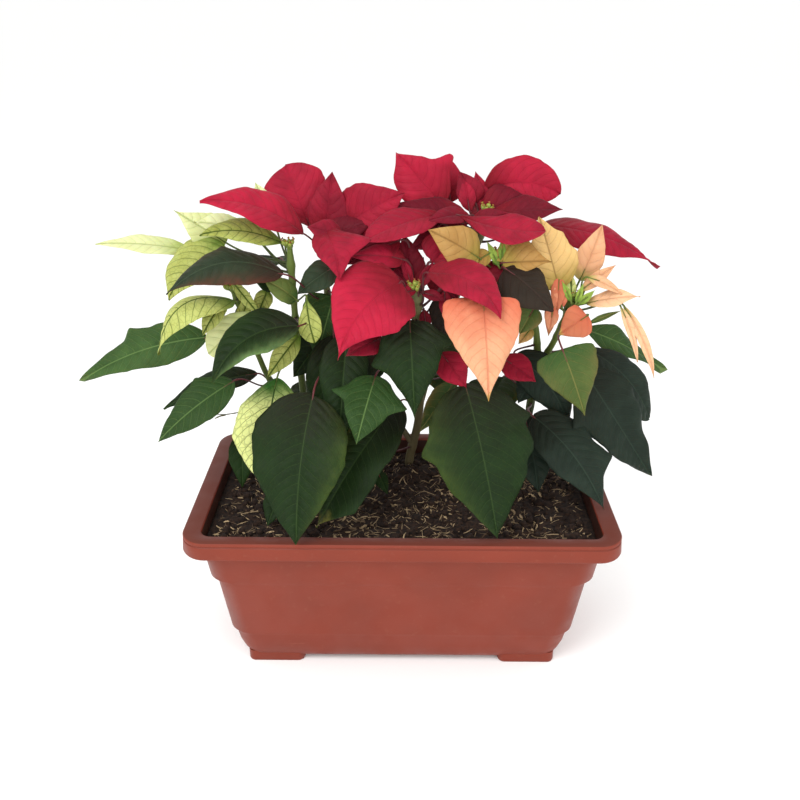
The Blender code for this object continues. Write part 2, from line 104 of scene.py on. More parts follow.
class Recipe:
    """A material in the making, with the few node patterns that the finishes share."""

    def __init__(self, name: str) -> None:
        """Start an empty material with one Principled surface."""
        self.material = bpy.data.materials.new(name)
        self.material.use_nodes = True
        self.tree = self.material.node_tree
        self.tree.nodes.clear()
        self.shader = add_node(self.tree, "BsdfPrincipled")
        add_node(self.tree, "OutputMaterial", {"Surface": self.shader.outputs["BSDF"]})
        self.place = add_node(self.tree, "TexCoord").outputs["Object"]

    def math(self, operation: str, *values: object) -> Socket:
        """Return the result of a sum on numbers or sockets."""
        return add_node(self.tree, "Math", dict(enumerate(values)), operation=operation).outputs[0]

    def swing(self, value: object, amount: float) -> Socket:
        """Return a value between 0 and 1 as a swing about nought, amount wide from end to end."""
        return self.math("MULTIPLY", self.math("SUBTRACT", value, 0.5), amount)

    def fade(self, value: object, start: float, end: float, low: float = 0.0, high: float = 1.0) -> Socket:
        """Return low where value is at start, high where it is at end, and a smooth step between."""
        links = {"Value": value, "From Min": start, "From Max": end, "To Min": low, "To Max": high}
        return add_node(self.tree, "MapRange", links, interpolation_type="SMOOTHSTEP").outputs["Result"]

    def noise(self, size_mm: float, detail: float = 3.0, where: object = None) -> Socket:
        """Return cloudy noise whose patches are about size_mm across."""
        links = {"Vector": where or self.place, "Scale": 1 / (size_mm * MM), "Detail": detail}
        return add_node(self.tree, "TexNoise", links).outputs["Fac"]

    def mix(self, share: object, first: object, second: object) -> Socket:
        """Return the blend of two colours, given as hex codes or sockets."""
        links = {"Factor": share}
        for socket, colour in ((6, first), (7, second)):
            links[socket] = linear(colour) if isinstance(colour, str) else colour
        return add_node(self.tree, "Mix", links, data_type="RGBA").outputs[2]

    def attribute(self, name: str, output: str = "Fac") -> Socket:
        """Return a number or vector that the mesh holds at each point."""
        return add_node(self.tree, "Attribute", attribute_name=name).outputs[output]

    def bump(self, height: object, depth_mm: float) -> Socket:
        """Return a normal that shows height as relief, depth_mm deep."""
        links = {"Height": height, "Distance": depth_mm * MM, "Strength": 1.0}
        return add_node(self.tree, "Bump", links).outputs["Normal"]

    def dress(self, **sockets: object) -> Material:
        """Set or link the surface's sockets, named with underscores for spaces.

        Args:
            sockets: Socket name to a value or to an output.

        Returns:
            The finished material.
        """
        for name, value in sockets.items():
            socket = self.shader.inputs[name.replace("_", " ")]
            if isinstance(value, Socket):
                self.tree.links.new(value, socket)
            else:
                socket.default_value = value
        return self.material


@dataclass(frozen=True)
class LeafSkin:
    """Living leaf: a waxy skin over green or coloured tissue, grown with raised veins.

    The thin sheet lets some light through, so it glows a little. The eye gets a satin face with a
    pale midrib, side veins every few millimetres, soft blotches between them, and another colour
    at the heart, where the blade joins its stalk. The mesh's sheet value holds the side veins
    passed, the distance from the midrib in millimetres and the share of the length.
    """

    name: str
    deep: str
    bright: str
    vein: str
    aged: str
    below: str
    heart: str
    vein_share: float = 0.45
    roughness: float = 0.52
    glow: float = 0.06
    rib_share: float = 1.6
    velvet: float = 0.0
    heart_share: float = 0.5
    tip: str = ""
    net_mm: float = 2.4
    net_share: float = 0.22
    vein_width: float = 0.055
    blotch_mm: ClassVar[float] = 16.0
    flush_mm: ClassVar[float] = 12.0
    wander_mm: ClassVar[float] = 11.0
    age_mm: ClassVar[float] = 9.0
    gloss_mm: ClassVar[float] = 5.0
    grain_mm: ClassVar[float] = 1.4
    rib_mm: ClassVar[tuple] = (1.0, 0.25)
    vein_fade_mm: ClassVar[float] = 60.0
    relief_mm: ClassVar[float] = 0.35
    underside_relief_mm: ClassVar[float] = -0.45
    underside_veins: ClassVar[float] = 1.25
    underside_share: ClassVar[float] = 0.62

    def material(self, underside: bool = False) -> Material:
        """Return the upper skin, or the duller underside with stronger veins."""
        name = f"{self.name}_{'underside' if underside else 'upper_skin'}"
        if name in bpy.data.materials:
            return bpy.data.materials[name]
        r = Recipe(name)
        sheet = add_node(r.tree, "SeparateXYZ", {0: r.attribute("sheet", "Vector")})
        veins = self.veins(r, sheet.outputs["X"], sheet.outputs["Y"])
        flesh = self.flesh(r, sheet.outputs["Z"])
        if underside:
            flesh = r.mix(self.underside_share, flesh, self.below)
        share = r.math("MULTIPLY", veins, self.vein_share * (self.underside_veins if underside else 1.0))
        grain = r.math("MULTIPLY", r.noise(self.grain_mm, 2.0), 0.35)
        relief = r.math("SUBTRACT", grain, r.math("MULTIPLY", veins, 0.7))
        return r.dress(
            Base_Color=r.mix(share, flesh, self.vein),
            Roughness=r.fade(r.noise(self.gloss_mm), 0.2, 0.8, self.roughness - 0.06, self.roughness + 0.08),
            Normal=r.bump(relief, self.underside_relief_mm if underside else self.relief_mm),
            IOR=TISSUE_IOR,
            Specular_IOR_Level=0.14,
            Subsurface_Weight=self.glow,
            Subsurface_Radius=TISSUE_RADII,
            Subsurface_Scale=0.0018,
            Sheen_Weight=self.velvet,
            Sheen_Roughness=0.45,
        )

    def veins(self, r: Recipe, passed: Socket, reach: Socket) -> Socket:
        """Return how much each point is vein: side veins, midrib or the fine net between them."""
        across = r.math("ABSOLUTE", reach)
        wander = r.swing(r.noise(self.wander_mm, 2.0), 0.35)
        side = r.fade(r.math("PINGPONG", r.math("ADD", passed, wander), 0.5), self.vein_width, 0.0)
        side = r.math("MULTIPLY", side, r.fade(across, self.vein_fade_mm, 0.0, 0.35, 1.0))
        rib = r.math("MULTIPLY", r.fade(across, *self.rib_mm), self.rib_share)
        cells = {"Vector": r.place, "Scale": 1 / (self.net_mm * MM)}
        net = add_node(r.tree, "TexVoronoi", cells, feature="DISTANCE_TO_EDGE").outputs["Distance"]
        net = r.math("MULTIPLY", r.fade(net, 0.10, 0.0), self.net_share)
        return r.math("MAXIMUM", r.math("MAXIMUM", side, rib), net)

    def flesh(self, r: Recipe, along: Socket) -> Socket:
        """Return the colour between the veins: blotches, tinted heart and tip, and aged margins."""
        patch = r.fade(r.noise(self.blotch_mm), 0.32, 0.70)
        # The blade's tone sets its own lighter or darker colour; on blades in shadow a strongly negative tone
        # paints shade.
        tone = r.math("ADD", r.attribute("tone"), r.swing(patch, 0.30))
        flesh = r.mix(r.fade(tone, -0.9, 0.9), self.deep, self.bright)
        along = r.math("ADD", along, r.swing(r.noise(self.flush_mm), 0.3))
        flesh = r.mix(r.fade(along, self.heart_share, 0.0), flesh, self.heart)
        if self.tip:
            flesh = r.mix(r.fade(along, 0.86, 1.0), flesh, self.tip)
        patchy = r.fade(r.noise(self.age_mm, 4.0), 0.25, 0.6, 0.35, 1.0)
        return r.mix(r.math("MULTIPLY", r.attribute("age"), patchy), flesh, self.aged)


class Skin(Enum):
    """The leaf skins that the plants show."""

    GREEN = LeafSkin("green_leaf", "#0B1507", "#1B3110", "#43592E", "#455620", "#3C4D2D", "#1A1C10", 0.30,
                     rib_share=0.95)
    DARK = LeafSkin("dark_leaf", "#0C130D", "#27342A", "#3E4F40", "#2F3F20", "#303C2E", "#161A12", 0.26,
                    rib_share=1.1)
    PALE = LeafSkin("pale_leaf", "#263D1B", "#4E6F38", "#708C50", "#66713A", "#5C7444", "#2A441E", 0.30)
    BRONZE = LeafSkin("bronze_leaf", "#130F0C", "#2C241C", "#3E2A24", "#46211A", "#342822", "#241812", 0.25)
    OLIVE = LeafSkin("olive_leaf", "#33461F", "#5C6A34", "#7A7642", "#705E38", "#5E6640", "#2E4A20", 0.36)
    EDGED = LeafSkin("edged_leaf", "#0B1507", "#1B3010", "#43592E", "#64804A", "#566C42", "#1A1C10", 0.25,
                     rib_share=1.0)
    DUSKY = LeafSkin("dusky_leaf", "#181F14", "#2D3B28", "#46543E", "#5A2A20", "#3A3428", "#2A1E16", 0.20)
    WITHERED = LeafSkin("withered_leaf", "#0B1507", "#1B3010", "#43592E", "#5A5E26", "#3C4D2D", "#1A1C10",
                        0.30, rib_share=0.95, tip="#6C6A32")
    LIME = LeafSkin("lime_leaflet", "#5C7A2C", "#9CB050", "#6C8834", "#A0A850", "#8AA04A", "#4C6E22", 0.20)
    RED = LeafSkin("red_bract", "#5A0A1A", "#AC1935", "#6C0D19", "#94232F", "#7E2230", "#6E0C1A", 0.09, 0.55,
                   0.10, rib_share=1.3, velvet=0.05)
    CREAM = LeafSkin("cream_bract", "#7E8632", "#BCC276", "#4A5A20", "#C0C492", "#9DA262", "#5E7A2C", 0.85,
                     0.52, 0.12, heart_share=0.3, net_mm=4.5, net_share=0.35, vein_width=0.09)
    LEMON = LeafSkin("lemon_bract", "#B8BE7C", "#DCE0B4", "#8A9650", "#D2D6AA", "#B4BA7E", "#9CAE58", 0.35,
                     0.52, 0.14)
    MOTTLED = LeafSkin("mottled_leaf", "#949E48", "#CACF86", "#2C441A", "#B8BC6C", "#9AA062", "#2C5A1E", 0.95,
                       0.52, 0.10, heart_share=0.46, net_mm=6.0, net_share=0.4, vein_width=0.07)
    PEACH = LeafSkin("peach_bract", "#B4684A", "#DCA47E", "#AC543C", "#C09058", "#B87C58", "#C0644A", 0.25,
                     0.55, 0.14, heart_share=0.62, tip="#A89A48")
    APRICOT = LeafSkin("apricot_bract", "#C08A64", "#E2B690", "#AC7A54", "#B8B070", "#C09A74", "#A89A58",
                       0.22, 0.55, 0.14, heart_share=0.3)
    TAN = LeafSkin("tan_bract", "#96703A", "#CCA86E", "#6A4C24", "#A09040", "#A88C54", "#94803C", 0.30, 0.55,
                   0.10)


@dataclass(frozen=True)
class Rind:
    """Young shoot skin: smooth, slightly waxy, green where it is young and brown with age."""

    name: str
    young: str
    old: str
    roughness: float = 0.5

    def material(self) -> Material:
        """Return the skin, which turns from old to young along the mesh's grown value."""
        if self.name in bpy.data.materials:
            return bpy.data.materials[self.name]
        r = Recipe(self.name)
        streak = r.noise(3.0, 4.0)
        grown = r.math("ADD", r.attribute("grown"), r.swing(streak, 0.5))
        return r.dress(
            Base_Color=r.mix(r.fade(grown, 0.1, 0.9), self.old, self.young),
            Roughness=self.roughness,
            Normal=r.bump(streak, 0.3),
            IOR=TISSUE_IOR,
            Subsurface_Weight=0.05,
            Subsurface_Radius=TISSUE_RADII,
            Subsurface_Scale=0.001,
        )


class Shoot(Enum):
    """The shoot skins of stems, stalks and buds."""

    WOODY = Rind("brown_shoot", "#62603A", "#544A30", 0.62)
    GREEN = Rind("green_shoot", "#586826", "#353E18", 0.58)
    RED = Rind("red_stalk", "#5A2024", "#3C1A1C")
    BUD = Rind("bud_skin", "#8E983E", "#56692C", 0.42)
    BUD_TIP = Rind("bud_tip", "#96402A", "#9C8634", 0.40)


@dataclass(frozen=True)
class MouldedPolypropylene:
    """Terracotta-coloured polypropylene, injection moulded in a fine-textured tool.

    The eye gets a soft satin face with a faint orange-peel grain, a little dust, a few scuffs
    and painted shade that darkens the faces that look up.
    """

    name: str = "moulded_terracotta_polypropylene"
    face: str = "#7C3323"
    shade: str = "#743021"
    dust: str = "#8B5745"
    scuff: str = "#955642"
    # Painted shade: the darker colour mixed onto the faces that look up.
    painted_top_shade: str = "#5C2B20"
    roughness: float = 0.42
    cloud_mm: ClassVar[float] = 70.0
    speck_mm: ClassVar[float] = 6.0
    scuff_mm: ClassVar[float] = 5.0
    grain_mm: ClassVar[float] = 0.9
    wear_mm: ClassVar[float] = 24.0

    def material(self) -> Material:
        """Return the moulded plastic."""
        r = Recipe(self.name)
        cloud = r.fade(r.noise(self.cloud_mm, 4.0), 0.3, 0.72)
        colour = r.mix(cloud, self.shade, self.face)
        speck = r.fade(r.noise(self.speck_mm, 5.0), 0.58, 0.75)
        colour = r.mix(r.math("MULTIPLY", speck, 0.16), colour, self.dust)
        stretch = add_node(r.tree, "Mapping", {"Vector": r.place, "Scale": (0.16, 1.0, 1.0)}).outputs[0]
        mark = r.fade(r.noise(self.scuff_mm, 6.0, stretch), 0.70, 0.76)
        colour = r.mix(r.math("MULTIPLY", mark, 0.30), colour, self.scuff)
        # Painted shade: the faces that look up are mixed towards a darker colour, standing in for the dimmer
        # light on them.
        facing = add_node(r.tree, "NewGeometry").outputs["Normal"]
        upward = add_node(r.tree, "SeparateXYZ", {0: facing}).outputs["Z"]
        worn = r.noise(self.wear_mm, 4.0)
        return r.dress(
            Base_Color=r.mix(r.fade(upward, 0.45, 0.95, 0.0, 0.92), colour, self.painted_top_shade),
            Roughness=r.fade(worn, 0.3, 0.7, self.roughness - 0.08, self.roughness + 0.12),
            Normal=r.bump(r.noise(self.grain_mm, 2.0), 0.06),
            IOR=1.49,
            Specular_IOR_Level=0.2,
        )


@dataclass(frozen=True)
class PeatMix:
    """Moist peat and coir potting soil: dark crumbs with browner coir, dull all over."""

    wet: str = "#140A07"
    crumb: str = "#2F1E13"
    coir: str = "#49301E"
    crumb_mm: float = 3.2
    fleck_mm: float = 1.6

    def material(self) -> Material:
        """Return the soil."""
        r = Recipe("peat_and_coir_soil")
        crumbs = r.noise(self.crumb_mm, 6.0)
        colour = r.mix(r.fade(crumbs, 0.35, 0.65), self.wet, self.crumb)
        fleck = r.fade(r.noise(self.fleck_mm, 4.0), 0.62, 0.72)
        colour = r.mix(r.math("MULTIPLY", fleck, 0.55), colour, self.coir)
        return r.dress(Base_Color=colour, Roughness=0.92, Normal=r.bump(crumbs, 1.2), IOR=1.4)


@dataclass(frozen=True)
class DryStraw:
    """Dry chopped straw and coir fibre: pale, weathered, streaked along its length."""

    pale: str = "#B89E78"
    brown: str = "#402A1A"
    streak_mm: float = 2.0
    grain_mm: float = 0.8

    def material(self) -> Material:
        """Return the fibre, each one between brown and pale by the mesh's tone value."""
        r = Recipe("dry_straw_fibre")
        streak = r.math("MULTIPLY", r.noise(self.streak_mm, 3.0), 0.35)
        tone = r.math("ADD", r.attribute("tone"), streak)
        colour = r.mix(r.fade(tone, 0.1, 1.1), self.brown, self.pale)
        grain = r.bump(r.noise(self.grain_mm, 2.0), 0.15)
        return r.dress(Base_Color=colour, Roughness=0.75, Normal=grain, IOR=1.45)


@dataclass
class MeshParts:
    """Points, faces and per-point values of a mesh while it is gathered."""

    points: list[Array] = field(default_factory=list)
    faces: Faces = field(default_factory=list)
    slots: list[int] = field(default_factory=list)
    values: dict[str, list[Array]] = field(default_factory=dict)
    count: int = 0

    def add(self, points: Array, faces: Faces, slot: int, **values: Array | float) -> None:
        """Add a patch of points and faces.

        Args:
            points: One row for each point, in millimetres.
            faces: Point numbers of each face, counted within the patch.
            slot: The material slot of the faces.
            values: Value name to one number or row for each point, or one number for all.
        """
        self.points.append(points)
        self.faces += [tuple(i + self.count for i in face) for face in faces]
        self.slots += [slot] * len(faces)
        for name, value in values.items():
            rows = np.asarray(value, float)
            if rows.ndim == 0:
                rows = np.full(len(points), float(rows))
            self.values.setdefault(name, []).append(rows)
        self.count += len(points)

    def build(self, name: str, materials: list[Material]) -> bpy.types.Object:
        """Make the object, smooth shaded, in the frame's metres.

        Args:
            name: The piece's name.
            materials: One material for each slot.

        Returns:
            The new object, linked to the scene.
        """
        mesh = bpy.data.meshes.new(name)
        world = (np.concatenate(self.points) + PLANTER_CENTRE) * MM
        mesh.from_pydata(world.tolist(), [], self.faces)
        mesh.polygons.foreach_set("material_index", self.slots)
        for key, rows in self.values.items():
            data = np.concatenate(rows)
            kind, slot = ("FLOAT_VECTOR", "vector") if data.ndim == 2 else ("FLOAT", "value")
            mesh.attributes.new(key, kind, "POINT").data.foreach_set(slot, data.ravel())
        for material in materials:
            mesh.materials.append(material)
        mesh.shade_smooth()
        mesh.validate()
        piece = bpy.data.objects.new(name, mesh)
        bpy.context.scene.collection.objects.link(piece)
        return piece


def unit(rows: Array) -> Array:
    """Return vectors, one in each row, at length one."""
    return rows / np.maximum(np.linalg.norm(rows, axis=-1, keepdims=True), 1e-9)


def smooth_path(points: tuple, step_mm: float) -> Array:
    """Return points on a Catmull-Rom curve through the given ones, about step_mm apart."""
    knots = np.array(points, float)
    knots = np.vstack((2 * knots[0] - knots[1], knots, 2 * knots[-1] - knots[-2]))
    path = []
    for a, b, c, d in zip(knots, knots[1:], knots[2:], knots[3:]):
        steps = max(1, round(np.linalg.norm(c - b) / step_mm))
        for t in np.arange(steps) / steps:
            bend = 2 * a - 5 * b + 4 * c - d
            twist = 3 * b - a - 3 * c + d
            path.append(0.5 * (2 * b + (c - a) * t + bend * t**2 + twist * t**3))
    path.append(knots[-2])
    return np.array(path)


def path_directions(path: Array) -> Array:
    """Return the unit direction of a path at each of its points."""
    return unit(np.gradient(path, axis=0))


def ring_faces(rings: int, count: int) -> Faces:
    """Return the faces of a closed solid through rings of count points, with a cap at both ends."""
    faces = []
    for low in range(0, (rings - 1) * count, count):
        for i in range(count):
            j = (i + 1) % count
            faces.append((low + i, low + j, low + count + j, low + count + i))
    faces.append(tuple(reversed(range(count))))
    faces.append(tuple(range((rings - 1) * count, rings * count)))
    return faces


def grid(rows: int, columns: int) -> tuple[list[tuple[int, int]], list[int]]:
    """Number the points of a grid, row by row.

    Args:
        rows: Rows of cells.
        columns: Cells in each row.

    Returns:
        Each cell's first point with the one below it, and the points round the edge in order.
    """
    width = columns + 1
    cells = [(i * width + j, (i + 1) * width + j) for i in range(rows) for j in range(columns)]
    edge = [i * width for i in range(rows + 1)] + [rows * width + j for j in range(1, width)]
    edge += [i * width + columns for i in range(rows - 1, -1, -1)] + list(range(columns - 1, 0, -1))
    return cells, edge


def tube(path: Array, radii: Array, sides: int, flat: float = 1.0) -> tuple[Array, Faces]:
    """Build a closed tube along a path.

    Args:
        path: The centre line, one row for each ring.
        radii: The radius at each ring.
        sides: Points in each ring.
        flat: Height of the section as a share of its width.

    Returns:
        The tube's points and faces, with a cap at both ends.
    """
    directions = path_directions(path)
    across = np.array((1.0, 0.13, 0.07))
    rings = []
    angles = np.arange(sides) * 2 * math.pi / sides
    for point, direction, radius in zip(path, directions, radii):
        across = unit(across - across.dot(direction) * direction)
        up = np.cross(direction, across)
        turn = np.cos(angles)[:, None] * across + flat * np.sin(angles)[:, None] * up
        rings.append(point + radius * turn)
    return np.concatenate(rings), ring_faces(len(path), sides)


def ride(piece: bpy.types.Object, slot: str, nodes: tuple[str, ...] = ()) -> None:
    """Fix a piece to the one body, log its finish slot and hide the nodes it stands for.

    Args:
        piece: The finished object.
        slot: The record's material slot.
        nodes: The nodes that the piece replaces.
    """
    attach(piece, BODY)
    if nodes:
        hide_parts(*nodes)
    LOG.info("%s: %d faces, slot %s", piece.name, len(piece.data.polygons), slot)


@dataclass
class Stem:
    """Centre line of one stem from the bottom up, with its radius at both ends."""

    points: tuple
    bottom_radius: float
    top_radius: float

    def path(self) -> Array:
        """Return points along the centre line."""
        return smooth_path(self.points, STEM_STEP_MM)

    def at(self, height: float) -> tuple[Array, Array, float]:
        """Return the centre, direction and radius at a height above the ground."""
        path = self.path()
        nearest = int(np.argmin(np.abs(path[:, 2] - height)))
        share = nearest / (len(path) - 1)
        radius = self.bottom_radius + share * (self.top_radius - self.bottom_radius)
        return path[nearest], path_directions(path)[nearest], radius


DRY_TWIG = (
    ((-98, 50, 222), (-120, 44, 227), (-150, 36, 229), (-169, 30, 228), (-179, 25, 229), (-188, 20, 233)),
    ((-176, 26, 228.5), (-182, 25, 227), (-187, 26, 224)),
)
STEMS = {
    "red_front": Stem(
        (
            (7, 60, 125), (7, 60, 160), (15, 55, 204), (17, 45, 243), (17, 25, 300), (12, 5, 340),
            (10, -5, 369),
        ),
        5.0,
        2.8,
    ),
    "red_left": Stem(((10, 58, 180), (-35, 57, 255), (-70, 45, 335), (-72, 35, 408)), 3.2, 2.6),
    "red_right": Stem(((16, 50, 225), (36, 62, 300), (62, 60, 370), (75, 50, 425)), 3.4, 2.6),
    "cream_main": Stem(
        ((-95, 55, 125), (-95, 55, 160), (-100, 45, 242), (-102, 30, 317), (-103, 20, 400)), 4.4, 2.6
    ),
    "cream_side": Stem(
        ((-98, 50, 212), (-128, 38, 255), (-139, 25, 293), (-146, 15, 330), (-156, 15, 361)), 3.0, 2.4
    ),
    "peach_main": Stem(
        ((125, 55, 125), (125, 55, 160), (131, 55, 244), (131, 45, 289), (120, 35, 335), (83, 20, 392)),
        4.6,
        2.6,
    ),
    "peach_side": Stem(((131, 50, 268), (143, 38, 300), (148, 29, 322), (156, 20, 353)), 3.2, 2.6),
}


class Outline(Enum):
    """Blade outlines: where the widest point is, how blunt the base is and how fine the tip."""

    OVATE = (0.36, 0.80, 1.00)
    LANCE = (0.42, 0.95, 1.15)
    ROUND = (0.50, 0.70, 0.62)
    SPATULATE = (0.62, 0.90, 0.60)
    ACUMINATE = (0.28, 0.70, 1.50)
    SHOULDERED = (0.17, 0.45, 1.20)

    def half_width(self, stations: Array) -> Array:
        """Return the half width at each share of the length, as a share of the widest half."""
        widest, base, tip = self.value
        bend = math.log(0.5) / math.log(widest)
        swell = np.sin(math.pi * np.clip(stations, 0.0005, 0.9995) ** bend)
        return swell ** (base + (tip - base) * stations)


@dataclass(frozen=True)
class Lobe:
    """A lobe of the margin, in millimetres beyond the plain outline, pointed unless it is soft.

    side is 1 on the right and -1 on the left, at is its point's share of the length, and spread
    is the share of the length over which it grows out. It falls back in half of that.
    """

    side: int
    at: float
    reach: float
    spread: float = 0.15
    soft: bool = False

    def half_width(self, stations: Array) -> Array:
        """Return what the lobe adds to the margin at each station."""
        if self.soft:
            share = np.where(stations < self.at, 2.2, 4.4) * (stations - self.at) / self.spread
            return self.reach * np.exp(-(share**2))
        rise = np.clip(1 - (self.at - stations) / self.spread, 0, 1) ** 1.7
        fall = np.clip(1 - (stations - self.at) / (0.5 * self.spread), 0, 1) ** 1.3
        return self.reach * np.where(stations < self.at, rise, fall)


@dataclass
class Blade:
    """One leaf or bract with its stalk, sized in millimetres.

    stem and height say where the stalk leaves the plant, base and tip are the ends of the midrib,
    and facing is the way the upper side looks. arch lifts the midrib between its ends, bow bends it
    to the right and cup turns the margins up in degrees. lean makes the right half wider by that
    share, twist turns the tip in degrees and wave is the margins' ripple. tone makes the skin
    lighter or darker, and age says how far the right and left margins have turned.
    """

    name: str
    stem: str
    height: float
    base: tuple
    tip: tuple
    facing: tuple
    width: float
    arch: float
    outline: Outline
    cup: float = 8.0
    bow: float = 0.0
    lean: float = 0.0
    lobes: tuple[Lobe, ...] = ()
    twist: float = 0.0
    wave: float = 1.0
    # A strongly negative tone paints shade on blades that sit in the shadow of others.
    tone: float = 0.0
    age: tuple = (0.0, 0.0)
    skin: Skin | None = None
    in_cad: bool = True
    narrowest: ClassVar[float] = 0.15

    def half_widths(self, stations: Array, side: int) -> Array:
        """Return the distance from midrib to margin at each station, right for 1 and left for -1."""
        found = self.outline.half_width(stations) * (1 + side * self.lean) * self.width / 2
        for lobe in self.lobes:
            if lobe.side == side:
                found = found + lobe.half_width(stations)
        found[1:-1] = 0.25 * found[:-2] + 0.5 * found[1:-1] + 0.25 * found[2:]
        return np.maximum(found, self.narrowest)


@dataclass
class SheetGrid:
    """The grid of points of one blade's sheet.

    s runs down the rows from base to tip and c along the columns from left margin to right, both
    as shares. reach is the distance from the midrib, phase counts the side veins passed, and size
    is the blade's mean half width.
    """

    s: Array
    c: Array
    reach: Array
    phase: Array
    length: float
    size: float


@dataclass
class Foliage:
    """All leaves and bracts of one colour group: shapes each blade's mesh and dresses it.

    Sizes are in millimetres. The shares are of the blade's half width, but sag_share is of its
    length.
    """

    slot: str
    skin: Skin
    stalk: Shoot
    blades: tuple
    thickness: float = 0.42
    columns: int = 24
    fewest_rows: int = 18
    most_rows: int = 72
    step_mm: float = 1.7
    vein_step_mm: float = 9.0
    quilt_share: float = 0.040
    quilt_limit: float = 1.5
    ripple_mm: float = 34.0
    ripple_share: float = 0.045
    roll_share: float = 0.10
    sag_share: float = 0.012
    groove_depth: float = 0.5
    groove_mm: float = 1.4
    rib_depth: float = 1.0
    rib_mm: float = 1.2
    unevenness: float = 0.018
    stalk_radius: float = 0.95
    stalk_sink: float = 0.8
    stalk_rings: int = 15
    stalk_sides: int = 8
    stalk_below: float = 0.7

    def build(self) -> None:
        """Make every blade of the group."""
        for number, blade in enumerate(self.blades):
            self.build_blade(blade, np.random.default_rng(1000 + 17 * number + len(blade.name)))

    def build_blade(self, blade: Blade, draw: np.random.Generator) -> None:
        """Make one blade with its stalk.

        Args:
            blade: The blade's places and sizes.
            draw: The seeded source of its small irregularities.
        """
        parts = MeshParts()
        across, middle = self.add_sheet(parts, blade, draw)
        self.add_stalk(parts, blade, across, middle)
        skin = (blade.skin or self.skin).value
        materials = [skin.material(), skin.material(underside=True), self.stalk.value.material()]
        piece = parts.build(f"{blade.name}_blade", materials)
        ride(piece, self.slot, (blade.name,) if blade.in_cad else ())

    def add_sheet(self, parts: MeshParts, blade: Blade, draw: np.random.Generator) -> tuple[Array, Array]:
        """Add the blade's two faces and the rim that joins them.

        Args:
            parts: The mesh that gets them.
            blade: The blade's places and sizes.
            draw: The seeded source of its small irregularities.

        Returns:
            The blade's sideways direction and the middle point of its midrib's curve.
        """
        base, tip = np.array(blade.base, float), np.array(blade.tip, float)
        length = float(np.linalg.norm(tip - base))
        chord = (tip - base) / length
        across = unit(np.cross(chord, np.array(blade.facing, float)))
        middle = (base + tip) / 2 + 2.0 * blade.arch * np.cross(across, chord)
        rows = int(np.clip(round(length / self.step_mm), self.fewest_rows, self.most_rows))
        s = np.linspace(0.0, 1.0, rows + 1)[:, None]
        midrib = (1 - s) ** 2 * base + 2 * s * (1 - s) * middle + s**2 * tip
        midrib += 4 * blade.bow * s * (1 - s) * across
        along = path_directions(midrib)
        flat = unit(across - (along @ across)[:, None] * along)
        up = np.cross(flat, along)
        turn = np.radians(blade.twist) * s
        side = (flat * np.cos(turn) + up * np.sin(turn))[:, None, :]
        normal = (up * np.cos(turn) - flat * np.sin(turn))[:, None, :]

        sheet = self.sheet_grid(blade, s, length, draw)
        rise = self.relief(blade, sheet, draw)
        spot = midrib[:, None, :] + sheet.reach[..., None] * side + rise[..., None] * normal
        share = np.abs(sheet.c)
        half_thick = self.thickness / 2 * (1.0 - 0.5 * share**2)
        rib = self.rib_depth * np.exp(-((np.abs(sheet.reach) / self.rib_mm) ** 2)) * (1 - 0.85 * s)
        upper = spot + half_thick[..., None] * normal
        lower = spot - (half_thick + rib)[..., None] * normal

        shown = np.stack((sheet.phase, sheet.reach, np.broadcast_to(s, rise.shape)), -1).reshape(-1, 3)
        turned = share**3 * np.where(sheet.c >= 0, *blade.age)
        age = np.clip(turned * (0.35 + 0.65 * np.sin(math.pi * s)), 0, 1).ravel()
        cells, edge = grid(rows, self.columns)
        total = len(shown)
        faces = [(a, a + 1, b + 1, b) for a, b in cells]
        faces += [(a, b, total + b, total + a) for a, b in zip(edge, edge[1:] + edge[:1])]
        points = np.concatenate((upper.reshape(-1, 3), lower.reshape(-1, 3)))
        twice = {"sheet": np.vstack((shown, shown)), "age": np.tile(age, 2)}
        parts.add(points, faces, 0, tone=blade.tone, grown=0.5, **twice)
        parts.faces += [(total + a, total + b, total + b + 1, total + a + 1) for a, b in cells]
        parts.slots += [1] * len(cells)
        return across, middle

    def sheet_grid(self, blade: Blade, s: Array, length: float, draw: np.random.Generator) -> SheetGrid:
        """Lay the blade out flat.

        Args:
            blade: The blade's places and sizes.
            s: Each row's share of the length, as a column.
            length: The distance from base to tip.
            draw: The seeded source of its small irregularities.

        Returns:
            The sheet's points, with the side veins that sweep towards the tip.
        """
        c = np.linspace(-1.0, 1.0, self.columns + 1)[None, :]
        right = self.ragged(blade.half_widths(s[:, 0], 1), s[:, 0], draw)
        left = self.ragged(blade.half_widths(s[:, 0], -1), s[:, 0], draw)
        reach = c * np.where(c >= 0, right[:, None], left[:, None])
        veins = max(4, round(length / self.vein_step_mm))
        sweep = (0.62 + 0.4 * np.abs(c) ** 2) * np.abs(reach) / length
        offset = 0.17 * np.clip(c / 0.15, -1, 1)
        phase = veins * (s - sweep) + offset
        return SheetGrid(s, c, reach, phase, length, 0.5 * (right.max() + left.max()))

